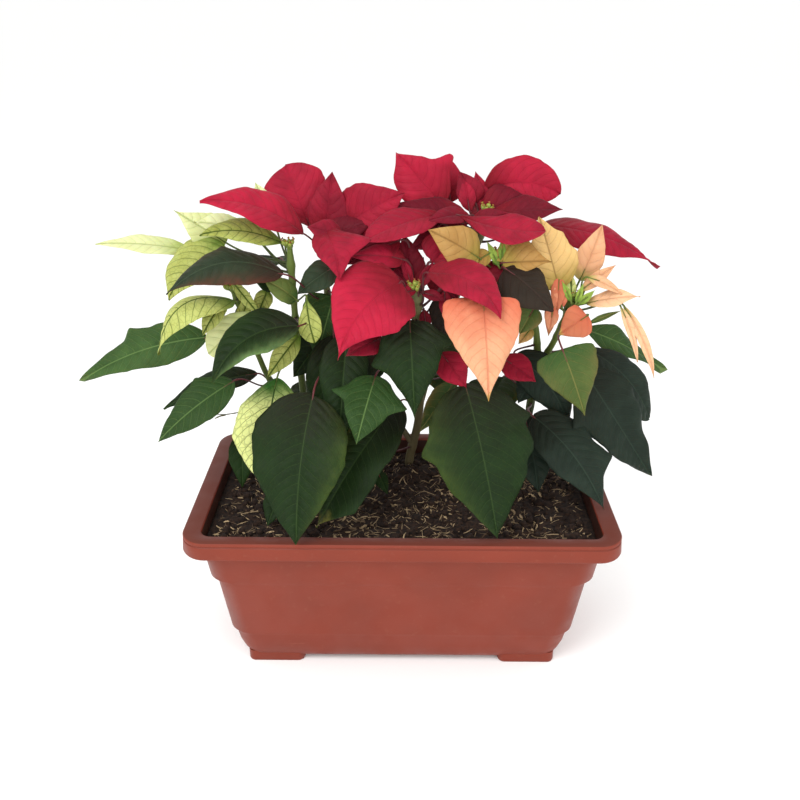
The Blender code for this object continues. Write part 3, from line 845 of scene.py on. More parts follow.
    def relief(self, blade: Blade, sheet: SheetGrid, draw: np.random.Generator) -> Array:
        """Shape the sheet's relief.

        Args:
            blade: The blade's places and sizes.
            sheet: The blade laid out flat.
            draw: The seeded source of its small irregularities.

        Returns:
            Each point's rise: fold, quilting, ripples, rolled margins, sag and midrib groove.
        """
        s, share, far, size = sheet.s, np.abs(sheet.c), np.abs(sheet.reach), sheet.size
        belly = np.sin(math.pi * s)
        fold = math.tan(math.radians(blade.cup)) * (np.sqrt(far**2 + 2.0) - math.sqrt(2.0))
        between = 0.5 - 0.5 * np.cos(FULL_TURN * sheet.phase)
        quilt = min(self.quilt_limit, self.quilt_share * size) * between
        quilt = quilt * np.minimum(1.0, share * 4) * (1 - share**3)
        swing = np.where(sheet.c >= 0, *draw.uniform(0, FULL_TURN, 2))
        ripple = np.sin(FULL_TURN * (sheet.length / self.ripple_mm) * s + swing) * share**2.2 * belly**0.5
        ripple = blade.wave * self.ripple_share * size * ripple
        rolled = -self.roll_share * size * share**4 * belly
        sag = draw.normal(0, self.sag_share * sheet.length, 3)
        swell = sum(amount * np.sin(math.pi * (k + 1) * s + k) * share for k, amount in enumerate(sag))
        groove = -self.groove_depth * np.exp(-((far / self.groove_mm) ** 2))
        return fold + quilt + ripple + rolled + swell * np.sign(sheet.c) + groove

    def ragged(self, reach: Array, s: Array, draw: np.random.Generator) -> Array:
        """Return a margin with the small unevenness of growth."""
        wobble = np.zeros(len(s))
        for k, turn in enumerate(draw.uniform(0, FULL_TURN, 4)):
            wobble += np.sin(FULL_TURN * (3.3 + 3.1 * k) * s + turn) / (k + 1)
        return reach * (1 + self.unevenness * wobble)

    def add_stalk(self, parts: MeshParts, blade: Blade, across: Array, middle: Array) -> None:
        """Add the stalk, from its joint on the stem to a taper under the midrib.

        Args:
            parts: The mesh that gets it.
            blade: The blade's places and sizes.
            across: The blade's sideways direction.
            middle: The middle point of its midrib's curve.
        """
        base = np.array(blade.base, float)
        ahead = unit(middle - base)
        centre, direction, radius = STEMS[blade.stem].at(blade.height)
        out = base - centre
        out = unit(out - out.dot(direction) * direction)
        foot = centre + (radius - self.stalk_sink) * out
        reach = np.linalg.norm(base - foot) / 3
        b, c = foot + reach * out, base - reach * ahead
        t = np.linspace(0, 1, self.stalk_rings)[:, None]
        path = (1 - t) ** 3 * foot + 3 * (1 - t) ** 2 * t * b + 3 * (1 - t) * t**2 * c + t**3 * base
        normal = np.cross(across, ahead)
        inside = np.array([base + ahead * d - normal * self.stalk_below for d in (3.0, 7.0, 12.0)])
        flare = 1.0 + 0.7 * np.exp(-np.linspace(0, 9, self.stalk_rings))
        radii = self.stalk_radius * np.concatenate((flare, (0.8, 0.55, 0.25)))
        points, faces = tube(np.vstack((path, inside)), radii, self.stalk_sides, 0.85)
        # Midway between two side veins and far from the midrib, so that no vein shows on the stalk.
        sheet = np.tile((0.5, 30.0, 0.0), (len(points), 1))
        grown = np.repeat(np.linspace(0.15, 1.0, len(radii)), self.stalk_sides)
        parts.add(points, faces, 2, tone=blade.tone, age=0.0, sheet=sheet, grown=grown)


@dataclass
class PlantStem:
    """A plant's trunk with its branches, swollen a little where each stalk leaves.

    The skin turns from old to young over young_over millimetres, from young_from above the ground.
    """

    node: str
    trunk: str
    branches: tuple
    skin: Shoot
    slot: str
    twigs: tuple = ()
    sides: int = 16
    joint_swell: float = 0.55
    joint_reach: float = 3.0
    young_from: float = 170.0
    young_over: float = 190.0
    twig_radius: float = 0.95
    twig_sides: int = 8
    twig_step_mm: float = 2.0

    def build(self, joints: dict[str, list[float]]) -> None:
        """Make the branched stem.

        Args:
            joints: Stem name to the heights where stalks leave it.
        """
        parts = MeshParts()
        for name in (self.trunk, *self.branches):
            stem = STEMS[name]
            path = stem.path()
            share = np.linspace(0, 1, len(path))
            radii = stem.bottom_radius + share * (stem.top_radius - stem.bottom_radius)
            for height in joints.get(name, []):
                radii = radii + self.joint_swell * np.exp(-(((path[:, 2] - height) / self.joint_reach) ** 2))
            points, faces = tube(path, radii, self.sides)
            grown = np.clip((path[:, 2] - self.young_from) / self.young_over, 0, 1)
            parts.add(points, faces, 0, grown=np.repeat(grown, self.sides))
        ride(parts.build(f"{self.node}_shoot", [self.skin.value.material()]), self.slot, (self.node,))
        if self.twigs:
            self.build_twigs()

    def build_twigs(self) -> None:
        """Make the dead side shoots, thin and brown, that still stand on the stem."""
        parts = MeshParts()
        for line in self.twigs:
            path = smooth_path(line, self.twig_step_mm)
            radii = self.twig_radius * np.linspace(1.0, 0.45, len(path))
            radii = radii * (1 + 0.18 * np.sin(np.arange(len(path)) * 1.9))
            parts.add(*tube(path, radii, self.twig_sides), 0, grown=0.6)
        ride(parts.build(f"{self.node}_dry_twig", [Shoot.WOODY.value.material()]), "brown_stem")


@dataclass
class BudCluster:
    """The knot of small cup-shaped flower buds in the middle of a head of bracts.

    The first bud stands in the middle, the next four in an inner ring and the rest in an outer
    one. The turn from one bud to the next is in radians.
    """

    stem: str
    buds: int = 9
    inner_buds: int = 4
    inner_ring: float = 0.62
    turn: float = 2.399
    bud_length: float = 5.6
    bud_radius: float = 2.0
    bud_sides: int = 12
    spread: float = 5.4
    stamens: int = 4
    core_rise: ClassVar[tuple] = (-1.0, 1.0, 3.0, 4.4)
    core_radii: ClassVar[tuple] = (2.6, 3.4, 3.0, 1.2)
    bud_steps: ClassVar[tuple] = (-0.5, 0.0, 0.25, 0.55, 0.8, 0.95, 1.0)
    bud_shape: ClassVar[tuple] = (0.35, 0.5, 0.85, 1.0, 0.82, 0.55, 0.2)

    def build(self) -> None:
        """Make the cluster on its stem's tip."""
        draw = np.random.default_rng(len(self.stem) * 31 + ord(self.stem[0]))
        path = STEMS[self.stem].path()
        top, up = path[-1], path_directions(path)[-1]
        across = unit(np.cross(up, (0.0, 1.0, 0.2)))
        beside = np.cross(up, across)
        parts = MeshParts()
        core = np.array([top + up * rise for rise in self.core_rise])
        parts.add(*tube(core, np.array(self.core_radii), 14), 0, grown=0.3)
        steps, shape = np.array(self.bud_steps), np.array(self.bud_shape)
        shade = np.repeat(np.linspace(0.2, 1.0, len(steps)), self.bud_sides)
        for k in range(self.buds):
            ring = 0.0 if k == 0 else (1.0 if k > self.inner_buds else self.inner_ring)
            angle = k * self.turn + draw.uniform(-0.2, 0.2)
            lean = (math.cos(angle) * across + math.sin(angle) * beside) * ring
            axis = unit(up + 0.62 * lean + draw.normal(0, 0.05, 3))
            seat = top + up * (3.2 - 1.3 * ring) + lean * self.spread * 0.55
            size = draw.uniform(0.85, 1.15)
            line = seat + np.outer(steps * self.bud_length * size, axis)
            points, faces = tube(line, self.bud_radius * size * shape, self.bud_sides)
            parts.add(points, faces, 0, grown=shade)
            self.add_stamens(parts, line[-1], axis, draw)
        skins = [Shoot.BUD.value.material(), Shoot.BUD_TIP.value.material()]
        ride(parts.build(f"{self.stem}_flower_buds", skins), "flower_bud", (f"{self.stem}_flower",))

    def add_stamens(self, parts: MeshParts, end: Array, axis: Array, draw: np.random.Generator) -> None:
        """Add the few short threads that stand out of a bud's mouth.

        Args:
            parts: The mesh that gets them.
            end: The middle of the bud's mouth.
            axis: The way the bud points.
            draw: The seeded source of their lean.
        """
        for _ in range(self.stamens):
            lean = unit(axis + draw.normal(0, 0.35, 3))
            line = end + np.outer((-0.8, 0.6, 1.5, 2.0), lean)
            points, faces = tube(line, np.array((0.25, 0.25, 0.5, 0.2)), 6)
            parts.add(points, faces, 1, grown=draw.uniform(0.0, 1.0))


@dataclass
class Planter:
    """Rectangular moulded planter with a rolled rim, stepped ends and four feet.

    Each row of walls and rim is one level of the outside: how far it stands in from the rim's end
    and from its side, its corner radius and its height. Each foot row is an inset and a height.
    """

    rim_length: float = 400.0
    rim_width: float = 214.0
    wall: float = 3.0
    smallest_corner: float = 6.0
    corner_steps: int = 14
    foot_size: tuple = (56.0, 40.0, 7.0)
    foot_centre: tuple = (125.0, 49.4)
    foot: tuple = ((1.5, 0.0), (0.5, 0.4), (0.0, 1.5), (0.0, 12.5))
    edge_radius: float = 0.7
    sharp_from: float = 35.0
    walls: tuple = (
        (47.5, 41.0, 16.0, 6.0),
        (43.5, 38.5, 18.0, 8.5),
        (40.5, 36.0, 20.0, 14.0),
        (37.2, 33.0, 21.0, 24.0),
        (35.2, 30.0, 21.0, 38.5),
        (33.4, 29.2, 21.0, 41.0),
        (31.2, 28.5, 21.0, 43.5),
        (24.4, 19.5, 21.0, 107.0),
        (22.0, 18.7, 21.0, 109.5),
        (18.6, 18.0, 21.0, 112.5),
        (15.2, 11.0, 21.0, 149.0),
    )
    rim: tuple = (
        (14.5, 10.0, 21.0, 163.0),
        (3.6, 3.6, 21.0, 163.0),
        (2.8, 2.8, 22.0, 149.6),
        (1.8, 1.8, 22.5, 149.0),
        (0.6, 0.6, 23.5, 149.4),
        (0.0, 0.0, 24.0, 151.0),
        (1.0, 1.0, 23.0, 161.6),
        (1.8, 1.8, 22.4, 162.4),
        (1.8, 1.8, 22.4, 163.0),
        (1.1, 1.1, 23.0, 163.7),
        (1.1, 1.1, 23.0, 165.6),
        (1.7, 1.7, 22.6, 166.6),
        (3.0, 3.0, 22.0, 167.0),
        (16.0, 12.5, 12.0, 167.0),
        (17.4, 13.4, 11.0, 166.4),
        (18.0, 13.8, 10.0, 165.0),
    )

    def ring(
        self, length: float, width: float, radius: float, height: float, centre: tuple = (0.0, 0.0)
    ) -> list:
        """Return a level rounded rectangle, given by half its length and width."""
        points = []
        for quarter, (sx, sy) in enumerate(((1, 1), (-1, 1), (-1, -1), (1, -1))):
            for step in range(self.corner_steps + 1):
                angle = math.radians(90.0 * (quarter + step / self.corner_steps))
                x = centre[0] + sx * (length - radius) + radius * math.cos(angle)
                y = centre[1] + sy * (width - radius) + radius * math.sin(angle)
                points.append((x, y, height))
        return points

    def level(self, row: tuple, extra: float = 0.0, lift: float = 0.0) -> list:
        """Return the ring of one wall level, moved in by extra and up by lift."""
        end, side, radius, height = row
        length, width = self.rim_length / 2 - end - extra, self.rim_width / 2 - side - extra
        return self.ring(length, width, max(radius - extra, self.smallest_corner), height + lift)

    def build(self) -> None:
        """Make the moulding."""
        rings = [self.level(row) for row in (*self.walls, *self.rim)]
        outside = (len(rings) - 1) * len(rings[0])
        rings += [self.level(row, self.wall) for row in reversed(self.walls[1:])]
        rings.append(self.level(self.walls[0], self.wall + 1.0, self.wall))
        parts = MeshParts()
        points, faces = self.loft(rings)
        parts.add(points, faces, 0)
        # The last two faces are the caps: the underside keeps the plain plastic, and the inner floor, like
        # the inner wall, takes the darker copy that paints shade inside the planter.
        parts.slots = [0] * outside + [1] * (len(faces) - outside - 2) + [0, 1]
        self.add_feet(parts)
        plastic = MouldedPolypropylene()
        # A darker copy of the same plastic for the inner wall and floor: painted shade under the rim.
        painted_inner_shade = MouldedPolypropylene(
            "soil_stained_polypropylene", "#3C1D14", "#2C1711", "#443024", "#4C2A1E", "#2C1812"
        )
        piece = parts.build("planter_moulding", [plastic.material(), painted_inner_shade.material()])
        piece.data.set_sharp_from_angle(angle=math.radians(self.sharp_from))
        edge = piece.modifiers.new("softened_edges", "BEVEL")
        edge.width = self.edge_radius * MM
        edge.segments = 2
        edge.limit_method = "ANGLE"
        edge.angle_limit = math.radians(self.sharp_from)
        ride(piece, "terracotta_plastic", ("planter",))

    def add_feet(self, parts: MeshParts) -> None:
        """Add the four feet, which reach into the wall."""
        length, width, radius = self.foot_size
        for sx in (-1, 1):
            for sy in (-1, 1):
                centre = (sx * self.foot_centre[0], sy * self.foot_centre[1])
                rings = [
                    self.ring(length / 2 - inset, width / 2 - inset, radius - inset, height, centre)
                    for inset, height in self.foot
                ]
                parts.add(*self.loft(rings), 0)

    def loft(self, rings: list) -> tuple[Array, Faces]:
        """Return the points and faces of a closed solid through rings."""
        return np.vstack(rings), ring_faces(len(rings), len(rings[0]))


@dataclass
class PottingSoil:
    """Uneven surface of potting soil, with crumbs and chopped straw lying on it.

    Sizes are in millimetres. border keeps crumbs and clumps clear of the wall, and fibre_border
    the ends of the fibres.
    """

    level: float = 149.0
    half_length: float = 181.5
    half_width: float = 92.8
    corner: float = 18.0
    step: float = 2.6
    depth: float = 22.0
    roughness: float = 0.35
    border: float = 8.0
    fibre_border: float = 4.0
    fibres: int = 2500
    clumps: int = 120
    clump_spread: float = 11.0
    crumbs: int = 1200
    crumb_sides: int = 7
    fibre_sides: int = 5

    def height(self, x: Array, y: Array) -> Array:
        """Return the height at places in plan: lumps, slow swells and a mound by the middle trunk."""
        rough = 1.1 * np.sin(x / 9.3 + 1.2 * np.sin(y / 11.0)) * np.sin(y / 8.1 + 0.6)
        rough = rough + 0.7 * np.sin(x / 4.1 + y / 5.3) * np.sin(y / 3.7 - x / 6.1)
        slow = 1.3 * np.sin(x / 41.0 + 0.5) + 0.9 * np.sin(y / 33.0 + x / 57.0)
        mound = 6.5 * np.exp(-(((x - 5) / 20.0) ** 2) - ((y - 46) / 16.0) ** 2)
        return self.level + rough + slow + mound

    def rounded(self, x: Array, y: Array) -> tuple[Array, Array]:
        """Return places in plan, pulled in at the corners to the planter's rounded inside."""
        inner_x, inner_y = self.half_length - self.corner, self.half_width - self.corner
        over_x = np.maximum(np.abs(x) - inner_x, 0)
        over_y = np.maximum(np.abs(y) - inner_y, 0)
        far = np.hypot(over_x, over_y)
        pull = np.where(far > self.corner, self.corner / np.maximum(far, 1e-6), 1.0)
        x = np.sign(x) * (np.minimum(np.abs(x), inner_x) + over_x * pull)
        y = np.sign(y) * (np.minimum(np.abs(y), inner_y) + over_y * pull)
        return x, y

    def build(self) -> None:
        """Make the soil block, its crumbs and its fibres."""
        draw = np.random.default_rng(77)
        nx = round(2 * self.half_length / self.step)
        ny = round(2 * self.half_width / self.step)
        u, v = np.meshgrid(np.linspace(-1, 1, nx + 1), np.linspace(-1, 1, ny + 1), indexing="ij")
        x, y = self.rounded(u * self.half_length, v * self.half_width)
        z = self.height(x, y) + draw.normal(0, self.roughness, x.shape)
        top = np.stack((x, y, z), -1).reshape(-1, 3)
        cells, edge = grid(nx, ny)
        skirt = top[edge] * (0.985, 0.975, 1.0)
        skirt[:, 2] = self.level - self.depth
        low = range(len(top), len(top) + len(edge))
        walls = list(zip(edge, low))
        faces = [(a, b, b + 1, a + 1) for a, b in cells]
        faces += [(a, b, d, c) for (a, b), (c, d) in zip(walls, walls[1:] + walls[:1])]
        faces.append(tuple(reversed(low)))
        parts = MeshParts()
        parts.add(np.vstack((top, skirt)), faces, 0)
        soil = PeatMix().material()
        ride(parts.build("soil_surface", [soil]), "soil", ("potting_soil",))
        self.build_crumbs(soil, draw)
        self.build_fibres(draw)

    def spots(self, count: int, draw: np.random.Generator) -> Array:
        """Return places in plan on the soil, clear of the wall."""
        room_x, room_y = self.half_length - self.border, self.half_width - self.border
        x = draw.uniform(-room_x, room_x, count)
        y = draw.uniform(-room_y, room_y, count)
        return np.stack((x, y), -1)

    def build_crumbs(self, soil: Material, draw: np.random.Generator) -> None:
        """Make the loose crumbs of soil."""
        parts = MeshParts()
        for x, y in self.spots(self.crumbs, draw):
            size = 1.0 + 3.4 * draw.uniform() ** 2
            centre = np.array((x, y, float(self.height(x, y)) + 0.25 * size))
            axis = unit(draw.normal(0, 1, 3) + (0.2, 0.1, 0.0))
            steps = np.array((-1.0, -0.6, 0.0, 0.6, 1.0)) * size * 0.9
            radii = size * np.array((0.35, 0.85, 1.0, 0.8, 0.3)) * draw.uniform(0.8, 1.2, 5)
            points, faces = tube(centre + np.outer(steps, axis), radii, self.crumb_sides)
            parts.add(points + draw.normal(0, 0.12 * size, points.shape), faces, 0)
        ride(parts.build("soil_crumbs", [soil]), "soil")

    def build_fibres(self, draw: np.random.Generator) -> None:
        """Make the chopped straw on the soil: three in five lie in clumps, and every ninth is a chip."""
        parts = MeshParts()
        clumps = self.spots(self.clumps, draw)
        lies = draw.uniform(0, FULL_TURN, self.clumps)
        room = np.array((self.half_length, self.half_width)) - self.border
        end_x, end_y = self.half_length - self.fibre_border, self.half_width - self.fibre_border
        t = np.linspace(-0.5, 0.5, 6)
        shape = np.array((0.5, 0.9, 1.0, 1.0, 0.85, 0.4))
        for number, place in enumerate(self.spots(self.fibres, draw)):
            clump = number % self.clumps
            gathered = number % 5 < 3
            if gathered:
                place = np.clip(clumps[clump] + draw.normal(0, self.clump_spread, 2), -room, room)
            length = 3 + 16 * draw.uniform() ** 1.8
            thick = 0.2 + 0.5 * draw.uniform() ** 2
            if number % 9 == 0:
                length = draw.uniform(3, 8)
                thick = draw.uniform(0.8, 1.4)
            heading = lies[clump] + draw.normal(0, 0.7) if gathered else draw.uniform(0, FULL_TURN)
            angles = heading + draw.normal(0, 0.25) * t * 2
            x = np.clip(place[0] + t * length * np.cos(angles), -end_x, end_x)
            y = np.clip(place[1] + t * length * np.sin(angles), -end_y, end_y)
            lift = self.height(x, y) + thick * 0.5 + draw.uniform(-0.5, 1.2)
            rise = lift + t * draw.normal(0, 2.6)
            line = np.stack((x, y, np.maximum(rise, lift - 1.5)), -1)
            points, faces = tube(line, thick * shape, self.fibre_sides, 0.5)
            parts.add(points, faces, 0, tone=draw.uniform(0.0, 1.05) ** 1.4)
        ride(parts.build("soil_straw", [DryStraw().material()]), "soil")


@dataclass
class Studio:
    """Plain pale floor, soft lights and the camera at the photograph's angle.

    Each light has its name, its place, what it points at and its side, in millimetres, and its
    power in watts.
    """

    camera_place: tuple = (0.0, -726.0, 608.0)
    pitch: float = 64.3
    roll: float = 0.43
    lens: float = 38.25
    sensor: float = 36.0
    shift: float = -0.0041
    nearest: float = 0.05
    sky: float = 1.03
    floor_reach: float = 90.0
    lights: tuple = (
        ("key_light", (-700, -900, 1500), (0, 0, 260), 900, 15.5),
        ("fill_light", (900, -700, 900), (0, 0, 260), 900, 4.0),
        ("front_light", (0, -1500, 500), (0, 0, 120), 1100, 5.5),
    )

    def build(self) -> None:
        """Make floor, lights, sky and camera."""
        scene = bpy.context.scene
        scene.view_settings.view_transform = "Standard"
        self.add_floor()
        self.add_sky(scene)
        for light in self.lights:
            self.add_light(*light)
        self.add_camera(scene)

    def world(self, place: tuple) -> Vector:
        """Return a place, given in millimetres from the planter's middle, in the frame's metres."""
        return Vector((np.array(place) + PLANTER_CENTRE) * MM)

    def add_camera(self, scene: bpy.types.Scene) -> None:
        """Set the camera where the photograph was taken from."""
        camera = bpy.data.cameras.new("camera")
        camera.sensor_width = self.sensor
        camera.lens = self.lens
        camera.shift_x = self.shift
        camera.clip_start = self.nearest
        holder = bpy.data.objects.new("camera", camera)
        pitch = Matrix.Rotation(math.radians(self.pitch), 4, "X")
        roll = Matrix.Rotation(math.radians(self.roll), 4, "Z")
        holder.matrix_world = Matrix.Translation(self.world(self.camera_place)) @ (pitch @ roll)
        scene.collection.objects.link(holder)
        scene.camera = holder

    def add_floor(self) -> None:
        """Lay a wide pale floor."""
        far = self.floor_reach
        corners = [(-far, -far, 0), (far, -far, 0), (far, far, 0), (-far, far, 0)]
        mesh = bpy.data.meshes.new("studio_floor")
        mesh.from_pydata(corners, [], [(0, 1, 2, 3)])
        r = Recipe("matt_white_floor_paint")
        paint = r.mix(r.noise(3.0), "#FBFBFA", "#FDFDFC")
        mesh.materials.append(r.dress(Base_Color=paint, Roughness=0.85))
        floor = bpy.data.objects.new("studio_floor", mesh)
        bpy.context.scene.collection.objects.link(floor)

    def add_sky(self, scene: bpy.types.Scene) -> None:
        """Surround everything with even white light."""
        world = bpy.data.worlds.new("studio")
        world.use_nodes = True
        background = world.node_tree.nodes["Background"].inputs
        background["Color"].default_value = (1.0, 1.0, 1.0, 1.0)
        background["Strength"].default_value = self.sky
        scene.world = world

    def add_light(self, name: str, place: tuple, target: tuple, size: float, power: float) -> None:
        """Add a square soft light.

        Args:
            name: The light's name.
            place: Where it hangs, in millimetres.
            target: What it points at, in millimetres.
            size: The length of its side, in millimetres.
            power: Its power in watts.
        """
        lamp = bpy.data.lights.new(name, "AREA")
        lamp.energy = power
        lamp.size = size * MM
        holder = bpy.data.objects.new(name, lamp)
        spot, aim = self.world(place), self.world(target)
        turn = (aim - spot).to_track_quat("-Z", "Y").to_matrix().to_4x4()
        holder.matrix_world = Matrix.Translation(spot) @ turn
        bpy.context.scene.collection.objects.link(holder)


O, N, R = Outline.OVATE, Outline.LANCE, Outline.ROUND
A, S, W = Outline.ACUMINATE, Outline.SPATULATE, Outline.SHOULDERED

CREAM = (
    Blade("cream_bract_top", "cream_main", 390, (-109, 22, 403), (-175, -12, 419), (0, -5, 10), 36, 4, N,
          bow=7, tone=-0.2),
    Blade("cream_bract_fan", "cream_main", 376, (-160, 28, 393), (-210, -5, 358), (-5, -10, 10), 58, 6, O,
          bow=8),
    Blade("cream_bract_upright", "cream_main", 384, (-165, 45, 397), (-210, 44, 427), (0, -10, 5), 36, 3, A,
          skin=Skin.LEMON, tone=-0.2),
    Blade("cream_bract_far_left", "cream_main", 368, (-200, 55, 386), (-277, 20, 402), (0, -5, 10), 26, 4, N,
          skin=Skin.LEMON),
    Blade("cream_bract_arched", "cream_side", 353, (-152, 2, 355), (-216, -36, 318), (-4, -6, 10), 38, 30, O,
          -20, tone=0.2),
    Blade("cream_bract_cupped", "cream_side", 336, (-128, -2, 350), (-177, -14, 310), (-2, -10, 7), 38, 4, S,
          10, skin=Skin.LEMON, tone=-0.2),
    Blade("cream_bract_hanging", "cream_main", 328, (-96, 5, 322), (-124, -22, 290), (0, -10, 6), 21, 4, N),
    Blade("cream_leaf_variegated", "cream_main", 300, (-115, -20, 290), (-125, -75, 215), (-2, -10, 8), 63, 8,
          R, bow=-1, tone=0.5, skin=Skin.MOTTLED),
)
CREAM_SMALL = (
    Blade("cream_bract_back", "cream_main", 380, (-155, 50, 410), (-185, 50, 410), (0, -8, 8), 20, 2, N),
    Blade("cream_bract_twisted", "cream_main", 348, (-88, 5, 358), (-80, -15, 322), (-4, -8, 3), 23, 3, S,
          twist=20),
    Blade("cream_bract_olive", "cream_main", 352, (-97, 5, 356), (-125, -8, 380), (0, -8, 8), 22, 3, O,
          skin=Skin.OLIVE, tone=0.8),
    Blade("cream_bract_inner", "cream_side", 350, (-162, 2, 354), (-180, -18, 329), (-3, -9, 7), 20, 3, O),
    Blade("cream_bract_peep", "cream_main", 385, (-126, 60, 424), (-138, 66, 448), (0, -10, 3), 15, 2, N,
          skin=Skin.LEMON),
    Blade("cream_bract_broad", "cream_main", 382, (-144, 36, 410), (-188, 26, 421), (0, -8, 10), 28, 3, O,
          skin=Skin.LEMON),
    Blade("cream_bract_strip", "cream_side", 352, (-156, 10, 373), (-127, -8, 343), (-2, -10, 5), 11, 2, N),
    Blade("cream_bract_pendent", "cream_main", 352, (-124, 14, 362), (-134, 0, 339), (0, -10, 4), 17, 2, O),
    Blade("cream_bract_small", "cream_side", 345, (-152, 12, 324), (-139, 4, 363), (0, -10, 3), 14, 2, N),
)
GREEN = (
    Blade("leaf_left_shoulder", "cream_main", 330, (-92, -22, 341), (-162, -70, 308), (-3, -8, 9), 48, 8, O,
          bow=13, age=(0.1, 0.85), skin=Skin.EDGED),
    Blade("leaf_left_low", "cream_side", 262, (-160, 5, 275), (-230, -25, 225), (-3, -10, 8), 40, 8, O,
          lobes=(Lobe(1, 0.3, 5),), skin=Skin.PALE, tone=-0.8),
    Blade("leaf_left_dark", "cream_side", 248, (-145, 45, 265), (-235, 20, 237), (-3, -6, 10), 36, 10, N),
    Blade("leaf_far_left", "cream_side", 300, (-190, 40, 305), (-315, 30, 262), (-3, -10, 6), 40, 7, O, bow=7,
          lobes=(Lobe(1, 0.53, 9),), skin=Skin.PALE, tone=-0.3),
    Blade("leaf_front_left", "red_left", 290, (-80, -45, 285), (-92, -115, 174), (0, -10, 8), 84, 9, O, bow=3,
          lean=0.07, age=(0, 0.5)),
    Blade("leaf_centre_left", "red_left", 330, (-52, 0, 325), (-57, -52, 245), (0, -10, 6), 44, 7, O),
    Blade("leaf_front_inner", "red_front", 235, (-5, 0, 255), (-78, -84, 170), (-3, -10, 10), 58, 10, O,
          lobes=(Lobe(-1, 0.8, 15, 0.35),), age=(0.8, 0), skin=Skin.WITHERED),
    Blade("leaf_centre_small", "red_front", 285, (-25, -30, 297), (-40, -85, 257), (0, -10, 10), 44, 5, O,
          lobes=(Lobe(1, 0.38, 13, 0.2), Lobe(-1, 0.42, 16, 0.25)), skin=Skin.PALE, tone=-1.7),
    Blade("leaf_centre_lobed", "red_front", 340, (5, -30, 350), (10, -75, 275), (0, -10, 7), 54, 8, A,
          lobes=(Lobe(-1, 0.25, 20), Lobe(1, 0.45, 13, 0.2))),
    Blade("leaf_front_right", "red_front", 272, (55, -35, 292), (84, -104, 174), (2, -10, 8), 92, 9, O,
          lobes=(Lobe(1, 0.41, 11, 0.12), Lobe(-1, 0.27, 11, 0.1), Lobe(-1, 0.5, 5, 0.1)), age=(0.4, 0)),
    Blade("leaf_right_upper", "peach_side", 292, (180, 48, 293), (248, 38, 221), (5, -10, 8), 54, 10, R,
          bow=-5, lean=0.25, skin=Skin.DARK),
    Blade("leaf_right_lower", "peach_main", 262, (172, 22, 282), (246, 5, 175), (3, -10, 6), 62, 8, O, bow=3,
          lobes=(Lobe(1, 0.30, 13, 0.2),), skin=Skin.DARK),
    Blade("leaf_right_inner", "peach_main", 300, (107, 30, 293), (162, 15, 224), (-3, -10, 5), 42, 6, O,
          bow=-9, skin=Skin.DARK),
    Blade("leaf_right_narrow", "peach_side", 312, (180, 70, 305), (270, 80, 255), (2, -5, 10), 32, 6, N,
          skin=Skin.PALE, tone=-0.4),
    Blade("leaf_corner_dark", "peach_main", 232, (125, 5, 240), (186, -62, 178), (2, -10, 10), 54, 8, O,
          bow=-5, lobes=(Lobe(-1, 0.66, 11, 0.2),), skin=Skin.DARK),
    Blade("leaf_soil_left", "cream_main", 205, (-160, 30, 210), (-160, 0, 160), (0, -10, 5), 28, 3, N,
          tone=0.6),
    Blade("leaf_olive", "peach_side", 325, (140, -31, 324), (160, -57, 272), (0, -10, 5), 54, 4, W, tone=-0.2,
          age=(0.3, 0.5), skin=Skin.OLIVE),
    Blade("leaf_back_left", "cream_main", 232, (-88, 82, 240), (-94, 116, 174), (0, 10, 5), 62, 6, O),
    Blade("leaf_back_right", "peach_main", 240, (104, 84, 246), (92, 117, 176), (0, 10, 5), 62, 6, O),
    Blade("leaf_back_centre", "red_right", 276, (40, 88, 284), (44, 118, 206), (0, 10, 5), 62, 6, O,
          lobes=(Lobe(1, 0.4, 8), Lobe(-1, 0.36, 9))),
)
